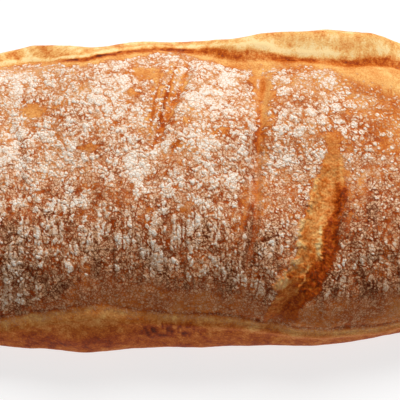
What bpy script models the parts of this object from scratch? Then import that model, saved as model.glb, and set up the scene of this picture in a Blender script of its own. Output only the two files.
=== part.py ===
"""A ciabatta loaf as one closed solid, in metres, with +Z up and its base at Z = 0.

The loaf starts as a smooth body: a rounded plan, a rounded height along its length
and a full belly low on its sides. Its crust is then pushed out or in along its own
normals by what baking did to it: the creases where the floured top skin meets the
bare side bands, the swelling of those bands, one long tear, a few folds that run
across the loaf, and slow lumps in the dough.

A place on the crust is given by x, along the loaf, and by skin, the length of crust
from the top centre line: positive towards +Y (the far side), negative towards -Y.
"""

import math
from typing import NamedTuple

import bmesh
import bpy
import numpy as np

# The body
LENGTH = 0.265
HALF_WIDTH = 0.062
HEIGHT = 0.060
BELLY_HEIGHT = 0.018
BASE_PRESSED_FLAT = 0.0006
TOP_ABOVE_BELLY = HEIGHT - BELLY_HEIGHT

# How long each outline stays full before it rounds off: more is fuller
PLAN_FULLNESS = 3.0
PROFILE_FULLNESS = 2.6
UNDERSIDE_FULLNESS = 8.0
END_POWER = 3.0
TOP_POWER = 2.3
FOOT_POWER = 4.6

# The crease between the floured top and each bare side band, as (x, height) knots
FAR_CREASE = (
    (-0.080, 0.0400), (-0.064, 0.0390), (-0.052, 0.0430), (-0.040, 0.0460),
    (-0.028, 0.0420), (-0.012, 0.0370), (0.004, 0.0375), (0.020, 0.0435),
    (0.036, 0.0435), (0.052, 0.0455), (0.068, 0.0445), (0.084, 0.0400),
)
NEAR_CREASE = (
    (-0.076, 0.0280), (-0.060, 0.0325), (-0.046, 0.0370), (-0.034, 0.0390), (-0.022, 0.0365),
    (-0.006, 0.0350), (0.010, 0.0345), (0.023, 0.0325), (0.036, 0.0290), (0.056, 0.0270), (0.080, 0.0235),
)
END_CREASE = 0.038
CREASE_DEPTH = 0.0016
CREASE_WIDTH = 0.0026
LIP_HEIGHT = 0.0009
LIP_OFFSET = 0.0046
LIP_WIDTH = 0.0024

# How far each side band stands out from the plain body, as (x, amount) knots
FAR_SWELL = (
    (-0.078, 0.0030), (-0.060, 0.0044), (-0.050, 0.0024), (-0.038, -0.0006),
    (-0.020, 0.0006), (0.000, 0.0022), (0.014, 0.0048), (0.030, 0.0079),
    (0.046, 0.0085), (0.056, 0.0097), (0.074, 0.0108), (0.086, 0.0102),
)
NEAR_SWELL = (
    (-0.076, 0.0015), (-0.058, 0.0020), (-0.046, 0.0024), (-0.032, 0.0014), (-0.016, 0.0006),
    (0.000, 0.0005), (0.020, -0.0001), (0.050, -0.0002), (0.080, -0.0007),
)
END_SWELL = 0.0020

# How far below the crease the swelling starts, and how long it rises. On the far side, where
# (x, distance) knots give it, it starts above the crease
FAR_SWELL_STARTS = ((-0.080, -0.004), (-0.040, -0.004), (0.000, -0.006), (0.022, -0.006), (0.042, -0.003))
NEAR_SWELL_STARTS = 0.0
END_SWELL_STARTS = 0.0
SWELL_RISES_OVER = 0.010

# How far below the crease the swelling eases off, and the share of it that is left low down
SWELL_EASES_OVER = (0.012, 0.040)
FAR_LOW_SHARE = 0.22
NEAR_LOW_SHARE = 1.0
END_LOW_SHARE = 0.8

# Crease and swelling are the same all round each end, past these distances from the middle
ENDS_FROM = 0.076
ENDS_WHOLLY_AT = 0.124

# Slow lumps of the dough: how many waves, their wavelengths and their height
LUMP_SEED = 7
LUMP_WAVES = 14
LUMP_LONGEST = 0.090
LUMP_SHORTEST = 0.028
LUMP_HEIGHT = 0.0008

# Below this height the crust goes over into the flat base, and no relief reaches it
BASE_BLEND = 0.012

# The mesh: rings along the loaf and points round it, closest where the creases run
RINGS = 84
POINTS_ROUND = 60
CREASE_BAND = (0.046, 0.084)
CREASE_BAND_DENSITY = 1.8
CREASE_ROW = 0.0655
MOST_SLIDE = 0.036
FOOT_BAND = (0.086, 0.106)
FOOT_BAND_DENSITY = 1.4
BASE_DENSITY = 0.45
END_CROSS_SHARE = 0.4
TABLE_STEPS = 4001
NORMAL_STEP = 1e-4
LEAST_STEEPNESS = 0.2
TINY = 1e-12

CRUST_COLOUR = (0.58, 0.33, 0.17, 1.0)
CRUST_ROUGHNESS = 0.8


class Fold(NamedTuple):
    """A valley across the loaf: its centre line, half width and depth as knots by skin."""

    line: tuple
    half_width: tuple
    depth: tuple


TEAR = Fold(
    line=(
        (-0.074, 0.0350), (-0.061, 0.0410), (-0.052, 0.0460),
        (-0.040, 0.0505), (-0.026, 0.0535), (0.004, 0.0560),
    ),
    half_width=((-0.074, 0.0050), (-0.060, 0.0062), (-0.044, 0.0074), (-0.030, 0.0064), (-0.006, 0.0028)),
    depth=(
        (-0.082, 0.0), (-0.070, 0.0018), (-0.050, 0.0034), (-0.030, 0.0030), (-0.006, 0.0012), (0.008, 0.0),
    ),
)
LONG_FOLD = Fold(
    line=((-0.046, 0.0220), (-0.034, 0.0248), (0.002, 0.0270), (0.020, 0.0288), (0.039, 0.0308)),
    half_width=((-0.046, 0.0022), (0.039, 0.0028)),
    depth=((-0.056, 0.0), (-0.040, 0.0013), (0.030, 0.0014), (0.048, 0.0)),
)
LEFT_FOLD = Fold(
    line=((0.000, -0.0120), (0.012, -0.0088), (0.020, -0.0060), (0.033, -0.0020), (0.052, 0.0008)),
    half_width=((0.000, 0.0022), (0.052, 0.0026)),
    depth=((-0.006, 0.0), (0.008, 0.0012), (0.040, 0.0014), (0.058, 0.0)),
)
END_FOLD = Fold(
    line=((-0.024, -0.0650), (0.002, -0.0655), (0.018, -0.0700)),
    half_width=((-0.024, 0.0026), (0.018, 0.0026)),
    depth=((-0.032, 0.0), (-0.016, 0.0012), (0.010, 0.0012), (0.026, 0.0)),
)
FOLDS = (TEAR, LONG_FOLD, LEFT_FOLD, END_FOLD)


def rise_over(value, start, end):
    """A smooth rise from 0 at start to 1 at end."""
    share = np.clip((value - start) / (end - start), 0.0, 1.0)
    return share * share * (3.0 - 2.0 * share)


def through_knots(at, knots):
    """A smooth curve through (place, value) knots, level beyond the first and the last."""
    places, values = np.array(knots).T
    slopes = np.gradient(values, places)
    slopes[[0, -1]] = 0.0
    at = np.clip(at, places[0], places[-1])
    left = np.clip(np.searchsorted(places, at) - 1, 0, len(places) - 2)
    span = places[left + 1] - places[left]
    t = (at - places[left]) / span
    starts = (1 + 2 * t) * values[left] + t * span * slopes[left]
    ends = (3 - 2 * t) * values[left + 1] + (t - 1) * span * slopes[left + 1]
    return (1 - t) ** 2 * starts + t**2 * ends


def rounded(along, fullness):
    """The share of full size that is left at a share of the way from the middle to an end."""
    return (1.0 - np.minimum(np.abs(along), 1.0) ** fullness) ** (1.0 / END_POWER)


def rounded_square(turn, power):
    """Sideways and upward shares of a rounded square, at an angle from its top."""
    return np.abs(np.sin(turn)) ** (2 / power), np.abs(np.cos(turn)) ** (2 / power)


def plain_loaf(along, turn):
    """Points of the smooth body: along from -1 to 1, turn from 0 on top to pi underneath."""
    width = HALF_WIDTH * rounded(along, PLAN_FULLNESS)
    top = TOP_ABOVE_BELLY * rounded(along, PROFILE_FULLNESS)
    underside = (BELLY_HEIGHT + BASE_PRESSED_FLAT) * rounded(along, UNDERSIDE_FULLNESS)
    top_out, top_up = rounded_square(turn, TOP_POWER)
    low_out, low_down = rounded_square(turn, FOOT_POWER)
    upper = np.abs(turn) < math.pi / 2
    out = np.where(upper, top_out, low_out)
    up = np.where(upper, top * top_up, -underside * low_down)
    return np.stack([along * LENGTH / 2, np.sign(turn) * width * out, BELLY_HEIGHT + up], axis=-1)


def length_shares(curve, density):
    """The share of a curve's length reached at each of its points, with dense parts stretched."""
    steps = np.linalg.norm(np.diff(curve, axis=0), axis=1) * (density[1:] + density[:-1]) / 2
    reached = np.concatenate(([0.0], np.cumsum(steps)))
    return reached / reached[-1]


def middle_section():
    """The turn of each sample of half the middle section, and the skin length up to it."""
    turns = np.linspace(0.0, math.pi, TABLE_STEPS)
    section = plain_loaf(np.zeros(TABLE_STEPS), turns)
    steps = np.linalg.norm(np.diff(section, axis=0), axis=1)
    return turns, np.concatenate(([0.0], np.cumsum(steps))), section


def turn_at(share, along, far):
    """The turn at a share of the way from the top centre line to the base centre line.

    The points are spread over the middle section, closest in the crease band. Towards
    the ends they slide with the crease, so that one row of them always runs along it.
    """
    turns, skin, section = middle_section()
    density = np.ones(TABLE_STEPS)
    density[(skin > CREASE_BAND[0]) & (skin < CREASE_BAND[1])] = CREASE_BAND_DENSITY
    density[(skin > FOOT_BAND[0]) & (skin < FOOT_BAND[1])] = FOOT_BAND_DENSITY
    density[skin > FOOT_BAND[1]] = BASE_DENSITY
    place = np.interp(share, length_shares(section, density), skin)
    up = (crease_height(along * LENGTH / 2, far) - BELLY_HEIGHT) / TOP_ABOVE_BELLY
    up /= np.maximum(rounded(along, PROFILE_FULLNESS), TINY)
    crease_turn = np.arccos(np.minimum(up, 1.0) ** (TOP_POWER / 2))
    slide = np.maximum(np.interp(crease_turn, turns, skin) - CREASE_ROW, -MOST_SLIDE)
    above = rise_over(place, 0.0, CREASE_ROW)
    below = 1.0 - rise_over(place, CREASE_ROW, FOOT_BAND[1])
    return np.interp(place + slide * np.where(place < CREASE_ROW, above, below), skin, turns)


def along_at(share):
    """The place along the loaf at a share of the way from its +X end to its -X end."""
    corner = np.linspace(0.0, math.pi / 2, TABLE_STEPS)
    along = np.cos(corner) ** (2 / PLAN_FULLNESS)
    across = END_CROSS_SHARE * HALF_WIDTH * rounded(along, PLAN_FULLNESS)
    outline = np.stack([along * LENGTH / 2, across], axis=-1)
    shares = length_shares(outline, np.ones(TABLE_STEPS)) / 2
    half = np.interp(0.5 - np.abs(share - 0.5), shares, along)
    return np.where(share < 0.5, half, -half)


def skin_at(turn):
    """The length of crust from the top centre line to a turn, on the middle section."""
    turns, skin, _ = middle_section()
    return np.sign(turn) * np.interp(np.abs(turn), turns, skin)


def normals_of(along, turn):
    """Outward normals of the smooth body, from two short steps along it."""
    ahead = plain_loaf(np.clip(along + NORMAL_STEP, -1, 1), turn)
    behind = plain_loaf(np.clip(along - NORMAL_STEP, -1, 1), turn)
    onward = plain_loaf(along, turn + NORMAL_STEP)
    back = plain_loaf(along, turn - NORMAL_STEP)
    normals = np.cross(ahead - behind, onward - back)
    lengths = np.linalg.norm(normals, axis=-1, keepdims=True)
    ends = np.stack([np.sign(along), np.zeros_like(along), np.zeros_like(along)], axis=-1)
    return np.where(lengths > TINY, normals / np.maximum(lengths, TINY), ends)


def by_side(x, far, far_value, near_value, end_value):
    """A value of each side, which passes into one value round both ends."""
    side = np.where(far, far_value, near_value)
    return side + (end_value - side) * rise_over(np.abs(x), ENDS_FROM, ENDS_WHOLLY_AT)


def crease_height(x, far):
    """The height of the crease above the base."""
    return by_side(x, far, through_knots(x, FAR_CREASE), through_knots(x, NEAR_CREASE), END_CREASE)


def side_relief(points, normals):
    """The crease, the lip just below it and the swelling of the side bands."""
    x, y, z = points.T
    far = y > 0
    steepness = np.maximum(np.sqrt(1.0 - np.minimum(normals[:, 2] ** 2, 1.0)), LEAST_STEEPNESS)
    below = (crease_height(x, far) - z) / steepness
    groove = -CREASE_DEPTH * np.exp(-((below / CREASE_WIDTH) ** 2))
    lip = LIP_HEIGHT * np.exp(-(((below - LIP_OFFSET) / LIP_WIDTH) ** 2))
    swell = by_side(x, far, through_knots(x, FAR_SWELL), through_knots(x, NEAR_SWELL), END_SWELL)
    low_share = by_side(x, far, FAR_LOW_SHARE, NEAR_LOW_SHARE, END_LOW_SHARE)
    eased = 1.0 - (1.0 - low_share) * rise_over(below, *SWELL_EASES_OVER)
    start = by_side(x, far, through_knots(x, FAR_SWELL_STARTS), NEAR_SWELL_STARTS, END_SWELL_STARTS)
    return groove + lip + swell * eased * rise_over(below, start, start + SWELL_RISES_OVER)


def fold_relief(fold, x, skin):
    """A valley with soft shoulders along the fold's line."""
    away = (x - through_knots(skin, fold.line)) / through_knots(skin, fold.half_width)
    return -through_knots(skin, fold.depth) * np.exp(-(away**2) * np.abs(away))


def lump_relief(points):
    """A sum of seeded waves in all directions, the longest of them the highest."""
    rng = np.random.default_rng(LUMP_SEED)
    headings = rng.normal(size=(LUMP_WAVES, 3))
    headings /= np.linalg.norm(headings, axis=1, keepdims=True)
    wavelengths = np.geomspace(LUMP_LONGEST, LUMP_SHORTEST, LUMP_WAVES)
    phases = rng.uniform(0.0, math.tau, LUMP_WAVES)
    heights = LUMP_HEIGHT * wavelengths / LUMP_LONGEST
    waves = np.sin(points @ (headings * math.tau / wavelengths[:, None]).T + phases)
    return waves @ heights


def crust_points(along, turn):
    """Points of the baked crust: the smooth body with all its relief, and a flat base."""
    body = plain_loaf(along, turn)
    normals = normals_of(along, turn)
    skin = skin_at(turn)
    relief = side_relief(body, normals) + lump_relief(body)
    for fold in FOLDS:
        relief += fold_relief(fold, body[:, 0], skin)
    relief *= rise_over(body[:, 2], 0.0, BASE_BLEND)
    crust = body + normals * relief[:, None]
    crust[:, 2] = np.maximum(crust[:, 2], 0.0)
    return crust


def on_origin(points):
    """The points moved so that the origin is the centre of the foot of their box."""
    low, high = points.min(axis=0), points.max(axis=0)
    foot = np.array([(low[0] + high[0]) / 2, (low[1] + high[1]) / 2, low[2]])
    return points - foot


def crust_mesh():
    """A sphere with its poles at the loaf's ends, each point moved to its place on the crust."""
    shape = bmesh.new()
    bmesh.ops.create_uvsphere(shape, u_segments=POINTS_ROUND, v_segments=RINGS, radius=1.0)
    ball = np.array([vert.co for vert in shape.verts])
    end_to_end = np.arccos(np.clip(ball[:, 2], -1, 1)) / math.pi
    round_share = np.arctan2(-ball[:, 1], ball[:, 0]) / math.pi
    along = along_at(end_to_end)
    turn = np.sign(round_share) * turn_at(np.abs(round_share), along, round_share > 0)
    points = on_origin(crust_points(along, turn))
    for vert, point in zip(shape.verts, points):
        vert.co = point
    mesh = bpy.data.meshes.new("ciabatta_loaf")
    shape.to_mesh(mesh)
    shape.free()
    mesh.shade_smooth()
    return mesh


def crust_material():
    """Baked crust, seen from afar as one warm brown."""
    material = bpy.data.materials.new("crust")
    material.use_nodes = True
    shader = material.node_tree.nodes["Principled BSDF"]
    shader.inputs["Base Color"].default_value = CRUST_COLOUR
    shader.inputs["Roughness"].default_value = CRUST_ROUGHNESS
    shader.inputs["Metallic"].default_value = 0.0
    return material


def clear_scene():
    """Removes whatever the opened scene holds."""
    for thing in list(bpy.data.objects):
        bpy.data.objects.remove(thing, do_unlink=True)


def build():
    """Puts the loaf in a collection of its own."""
    clear_scene()
    collection = bpy.data.collections.new("ciabatta")
    bpy.context.scene.collection.children.link(collection)
    mesh = crust_mesh()
    mesh.materials.append(crust_material())
    collection.objects.link(bpy.data.objects.new("ciabatta_loaf", mesh))


build()
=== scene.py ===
"""The looks of a floured ciabatta loaf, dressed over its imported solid.

Everything is in metres, with +X along the loaf, +Y to its far side and +Z up. A place on
the crust is given by x and by skin, the length of crust from the top centre line on the
middle section: positive towards the far side, negative towards the near side.
"""

import itertools
import logging
import math
import sys
from dataclasses import dataclass, field
from enum import Enum, IntEnum

import bpy
import numpy as np
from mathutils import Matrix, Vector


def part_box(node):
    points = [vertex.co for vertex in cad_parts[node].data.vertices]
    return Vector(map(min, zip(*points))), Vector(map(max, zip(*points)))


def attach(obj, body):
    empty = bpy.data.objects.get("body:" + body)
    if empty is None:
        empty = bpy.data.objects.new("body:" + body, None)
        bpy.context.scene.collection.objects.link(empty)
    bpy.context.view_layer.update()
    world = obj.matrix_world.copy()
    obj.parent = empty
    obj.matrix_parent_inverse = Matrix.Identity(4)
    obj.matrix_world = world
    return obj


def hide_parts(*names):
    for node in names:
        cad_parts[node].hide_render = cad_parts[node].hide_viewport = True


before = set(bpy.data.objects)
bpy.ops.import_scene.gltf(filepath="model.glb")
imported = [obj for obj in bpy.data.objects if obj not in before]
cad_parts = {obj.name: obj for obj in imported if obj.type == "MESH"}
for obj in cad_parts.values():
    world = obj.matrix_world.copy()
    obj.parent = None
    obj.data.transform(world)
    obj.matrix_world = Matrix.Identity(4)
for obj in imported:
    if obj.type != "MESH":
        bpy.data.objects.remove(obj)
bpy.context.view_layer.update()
LOG = logging.getLogger("ciabatta")

Array = np.ndarray
Knots = tuple[tuple[float, float], ...]
Colour = tuple[float, float, float]

TINY = 1e-12
WORD = 0xFFFFFFFF
PART_BITS = 11
PART = 2**PART_BITS - 1
LAST_PART = 2**10 - 1
CELL_PRIMES = (73856093, 19349663, 83492791)
SEED_STEP = 2654435761
STIR = 0x45D9F3B
LAYER_SEED_STEP = 17
NOISE_GAIN = 1.9
NO_LENGTH = 1e-6
NEIGHBOURS = tuple(itertools.product((-1, 0, 1), repeat=3))
CORNERS = tuple(itertools.product((0, 1), repeat=3))
BAKE_MAP = "OFBake"

NEAR_SLOPE = (0.004, 0.030)
SHRINK = 0.16
SHRINK_MIDDLE = -0.012
SHRINK_OVER = 0.020


class Seed(IntEnum):
    """Which draw of random numbers each pattern takes."""

    HILLS = 11
    PEBBLES = 12
    RIBS = 13
    SHARP_EDGES = 14
    PLATES = 31
    FLAKES = 32
    SPECKS = 33
    WOBBLE_X = 41
    WOBBLE_Y = 42
    WOBBLE_Z = 43
    DRIFTS = 44
    CLUMPS = 45
    STRAY_X = 47
    STRAY_SKIN = 48
    WHITENESS = 49
    LIP_GAPS = 50
    TOP = 51
    FAR_BAND = 52
    NEAR_BAND = 53
    CREASE_BREAKS = 54
    SPECKLE = 55
    BAND_STREAKS = 56
    RAGGED_TEAR = 61
    FIBRES = 62
    MOTTLE = 63
    FRAYED_LIP = 64
    FILM = 65
    CRACKLY = 66
    SLOPE_CRACKS = 67
    HAZE = 68


def rise_over(value: Array, start: Array | float, end: Array | float) -> Array:
    """A smooth rise from 0 at start to 1 at end: three squares less two cubes of the share."""
    share = np.clip((value - start) / (end - start), 0.0, 1.0)
    return share * share * (3.0 - 2.0 * share)


def bump_at(value: Array, middle: Array | float, width: Array | float) -> Array:
    """A bell of height 1 round a middle: e to the minus square of the distance in widths."""
    return np.exp(-(((value - middle) / width) ** 2))


def through_knots(at: Array, knots: Knots) -> Array:
    """Reads a smooth curve through knots, level beyond the first and the last.

    Between two knots it is the cubic that has their values and the mean slopes there.

    Args:
        at: The places to read it at.
        knots: The (place, value) pairs, in order of place.

    Returns:
        The curve's value at each place.
    """
    places, values = np.array(knots).T
    slopes = np.gradient(values, places)
    slopes[[0, -1]] = 0.0
    at = np.clip(at, places[0], places[-1])
    left = np.clip(np.searchsorted(places, at) - 1, 0, len(places) - 2)
    span = places[left + 1] - places[left]
    t = (at - places[left]) / span
    starts = (1 + 2 * t) * values[left] + t * span * slopes[left]
    ends = (3 - 2 * t) * values[left + 1] + (t - 1) * span * slopes[left + 1]
    return (1 - t) ** 2 * starts + t**2 * ends


def cell_numbers(cells: Array, seed: int) -> Array:
    """Draws three numbers for each cell of a cubic lattice, the same each time.

    A cell's three whole numbers, times large primes, are joined by exclusive or, and then
    stirred by shifts and products. Three runs of the result's bits are the three numbers.

    Args:
        cells: Whole-number cells, one row each.
        seed: Which draw of numbers to make.

    Returns:
        Three numbers from 0 to 1 for each cell.
    """
    mixed = np.full(len(cells), seed * SEED_STEP, np.int64)
    for axis, prime in enumerate(CELL_PRIMES):
        mixed ^= cells[:, axis] * prime
    mixed &= WORD
    for _ in range(2):
        mixed = ((mixed ^ (mixed >> 16)) * STIR) & WORD
    mixed ^= mixed >> 16
    drawn = np.empty((len(cells), 3))
    drawn[:, 0] = (mixed & PART) / PART
    drawn[:, 1] = ((mixed >> PART_BITS) & PART) / PART
    drawn[:, 2] = (mixed >> 2 * PART_BITS) / LAST_PART
    return drawn


def soft_noise(points: Array, size: float, seed: int) -> Array:
    """Smooth random hills and hollows of about one size.

    Each lattice corner has a random slope, and a point takes the eight slopes round it,
    each read at the point and weighed by smooth shares of the way across the cell.

    Args:
        points: Where to read it, one row each.
        size: The lattice's spacing.
        seed: Which draw of slopes to make.

    Returns:
        A value for each point, mostly from -1 to 1, and 0 on average.
    """
    scaled = points / size
    low = np.floor(scaled).astype(np.int64)
    share = scaled - low
    smooth = share * share * share * (share * (share * 6.0 - 15.0) + 10.0)
    total = np.zeros(len(points))
    for corner in CORNERS:
        weight = np.prod(np.where(corner, smooth, 1.0 - smooth), axis=1)
        slopes = 2.0 * cell_numbers(low + corner, seed) - 1.0
        total += weight * np.sum(slopes * (share - corner), axis=1)
    return NOISE_GAIN * total


def layered_noise(points: Array, size: float, seed: int, layers: int = 3, keep: float = 0.5) -> Array:
    """Hills with smaller hills on them: each layer is half as large and keeps a share of the height.

    Args:
        points: Where to read it, one row each.
        size: The size of the first layer's hills.
        seed: Which draw of slopes to make.
        layers: The number of layers.
        keep: The share of the height that each layer keeps of the one before it.

    Returns:
        A value for each point, 0 on average.
    """
    total = np.zeros(len(points))
    for layer in range(layers):
        total += soft_noise(points, size / 2**layer, seed + LAYER_SEED_STEP * layer) * keep**layer
    return total


def stretched(x: Array, skin: Array, width: float, length: float) -> Array:
    """Where to read noise of size 1, so that its hills have a width in x and a length in skin."""
    return np.stack([x / width, skin / length, np.zeros_like(x)], axis=1)


@dataclass(frozen=True)
class Cracked:
    """What a crackle pattern is at each point: its cell and how far the nearest crack is."""

    border: Array
    chance: Array
    shade: Array
    centre: Array


@dataclass(frozen=True)
class Crackle:
    """The cells into which a dry skin cracks, each nearest to one scattered seed point."""

    size: float
    seed: int
    rounding: float = 0.07

    def at(self, points: Array) -> Cracked:
        """Finds each point's cell and the distance to the cell's walls, rounded at its corners.

        The wall between two seed points lies midway, square to the line that joins them. The
        distances to all the walls make one by a soft minimum: less the logarithm of the sum
        of e to the minus distance, in units of the rounding.

        Args:
            points: Where to read it, one row each.

        Returns:
            The distance to the crack, two random numbers of the cell's own and its seed point.
        """
        scaled = points / self.size
        home = np.floor(scaled).astype(np.int64)
        ways = np.empty((len(NEIGHBOURS), len(points), 3), np.float32)
        nearest = np.full(len(points), np.inf)
        towards = np.zeros(ways.shape[1:], np.float32)
        cell = home.copy()
        for way, offset in zip(ways, NEIGHBOURS):
            other = home + offset
            way[:] = other + cell_numbers(other, self.seed) - scaled
            distance = np.einsum("ij,ij->i", way, way)
            closer = distance < nearest
            nearest[closer] = distance[closer]
            towards[closer] = way[closer]
            cell[closer] = other[closer]
        total = np.zeros(len(points))
        for way in ways:
            between = way - towards
            length = np.sqrt(np.einsum("ij,ij->i", between, between))
            wall = np.einsum("ij,ij->i", way + towards, between) / 2 / np.maximum(length, TINY)
            total += np.where(length > NO_LENGTH, np.exp(-wall / self.rounding), 0.0)
        border = -self.rounding * np.log(np.maximum(total, TINY))
        drawn = cell_numbers(cell, self.seed + 1)
        return Cracked(border * self.size, drawn[:, 0], drawn[:, 1], (scaled + towards) * self.size)


class Lie(Enum):
    """What a patch does to the flour: leaves the crust bare, or smears flour smoothly."""

    BARE = "bare"
    SMEAR = "smear"


@dataclass(frozen=True)
class Streak:
    """A line across the loaf with soft edges: its x, half width and strength by skin."""

    line: Knots
    half_width: Knots
    strength: Knots

    def across(self, x: Array, skin: Array) -> Array:
        """The distance from the line towards +X, in half widths."""
        return (x - through_knots(skin, self.line)) / through_knots(skin, self.half_width)

    def at(self, x: Array, skin: Array) -> Array:
        """The strength there: e to the minus cube of the distance in half widths."""
        away = np.abs(self.across(x, skin))
        return through_knots(skin, self.strength) * np.exp(-(away**3))


@dataclass(frozen=True)
class Patch:
    """An oval of crust with soft edges, its long axis turned from +X towards the far side."""

    x: float
    skin: float
    half_long: float
    half_across: float
    amount: float
    angle: float = 0.0
    lie: Lie = Lie.BARE

    def at(self, x: Array, skin: Array) -> Array:
        """The amount there: e to the minus fourth power of the distance in half lengths."""
        cosine, sine = math.cos(math.radians(self.angle)), math.sin(math.radians(self.angle))
        long = ((x - self.x) * cosine + (skin - self.skin) * sine) / self.half_long
        across = ((skin - self.skin) * cosine - (x - self.x) * sine) / self.half_across
        return self.amount * np.exp(-((long**2 + across**2) ** 2))


TEAR = Streak(
    line=(
        (-0.074, 0.0350), (-0.061, 0.0410), (-0.052, 0.0460),
        (-0.040, 0.0505), (-0.026, 0.0535), (0.004, 0.0560),
    ),
    half_width=((-0.074, 0.0050), (-0.060, 0.0062), (-0.044, 0.0074), (-0.030, 0.0064), (-0.006, 0.0028)),
    strength=(
        (-0.082, 0.0), (-0.070, 0.0018), (-0.050, 0.0034), (-0.030, 0.0030), (-0.006, 0.0012), (0.008, 0.0),
    ),
)
LONG_FOLD = Streak(
    line=((-0.046, 0.0220), (-0.034, 0.0248), (0.002, 0.0270), (0.020, 0.0288), (0.039, 0.0308)),
    half_width=((-0.046, 0.0022), (0.039, 0.0028)),
    strength=((-0.056, 0.0), (-0.040, 0.0013), (0.030, 0.0014), (0.048, 0.0)),
)
LEFT_FOLD = Streak(
    line=((0.000, -0.0120), (0.012, -0.0088), (0.020, -0.0060), (0.033, -0.0020), (0.052, 0.0008)),
    half_width=((0.000, 0.0022), (0.052, 0.0026)),
    strength=((-0.006, 0.0), (0.008, 0.0012), (0.040, 0.0014), (0.058, 0.0)),
)
END_FOLD = Streak(
    line=((-0.024, -0.0650), (0.002, -0.0655), (0.018, -0.0700)),
    half_width=((-0.024, 0.0026), (0.018, 0.0026)),
    strength=((-0.032, 0.0), (-0.016, 0.0012), (0.010, 0.0012), (0.026, 0.0)),
)


@dataclass
class Places:
    """Places on the plain body, with what the crust's relief and colours are read from."""

    x: Array
    skin: Array
    body: Array
    normals: Array
    below: Array
    edge: Array

    @property
    def far(self) -> Array:
        """Whether each place is on the far side of the top centre line."""
        return self.body[:, 1] > 0

    @property
    def near_slope(self) -> Array:
        """The share of the way from the top, 0, onto the near slope, 1."""
        return rise_over(-self.skin, *NEAR_SLOPE)

    @property
    def grain(self) -> Array:
        """Coordinates for patterns that are stretched on the near side.

        z is scaled by a share that rises with y, as a hyperbolic tangent does. y is replaced
        by the sum of those shares up to it, the logarithm of a hyperbolic cosine.

        Returns:
            One row for each place.
        """
        x, y, z = self.body.T
        way = (y - SHRINK_MIDDLE) / SHRINK_OVER
        share = 1.0 - SHRINK + SHRINK * np.tanh(way)
        summed = (1.0 - SHRINK) * y + SHRINK * SHRINK_OVER * np.log(np.cosh(way))
        return np.stack([x, summed, z * share], axis=1)


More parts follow.
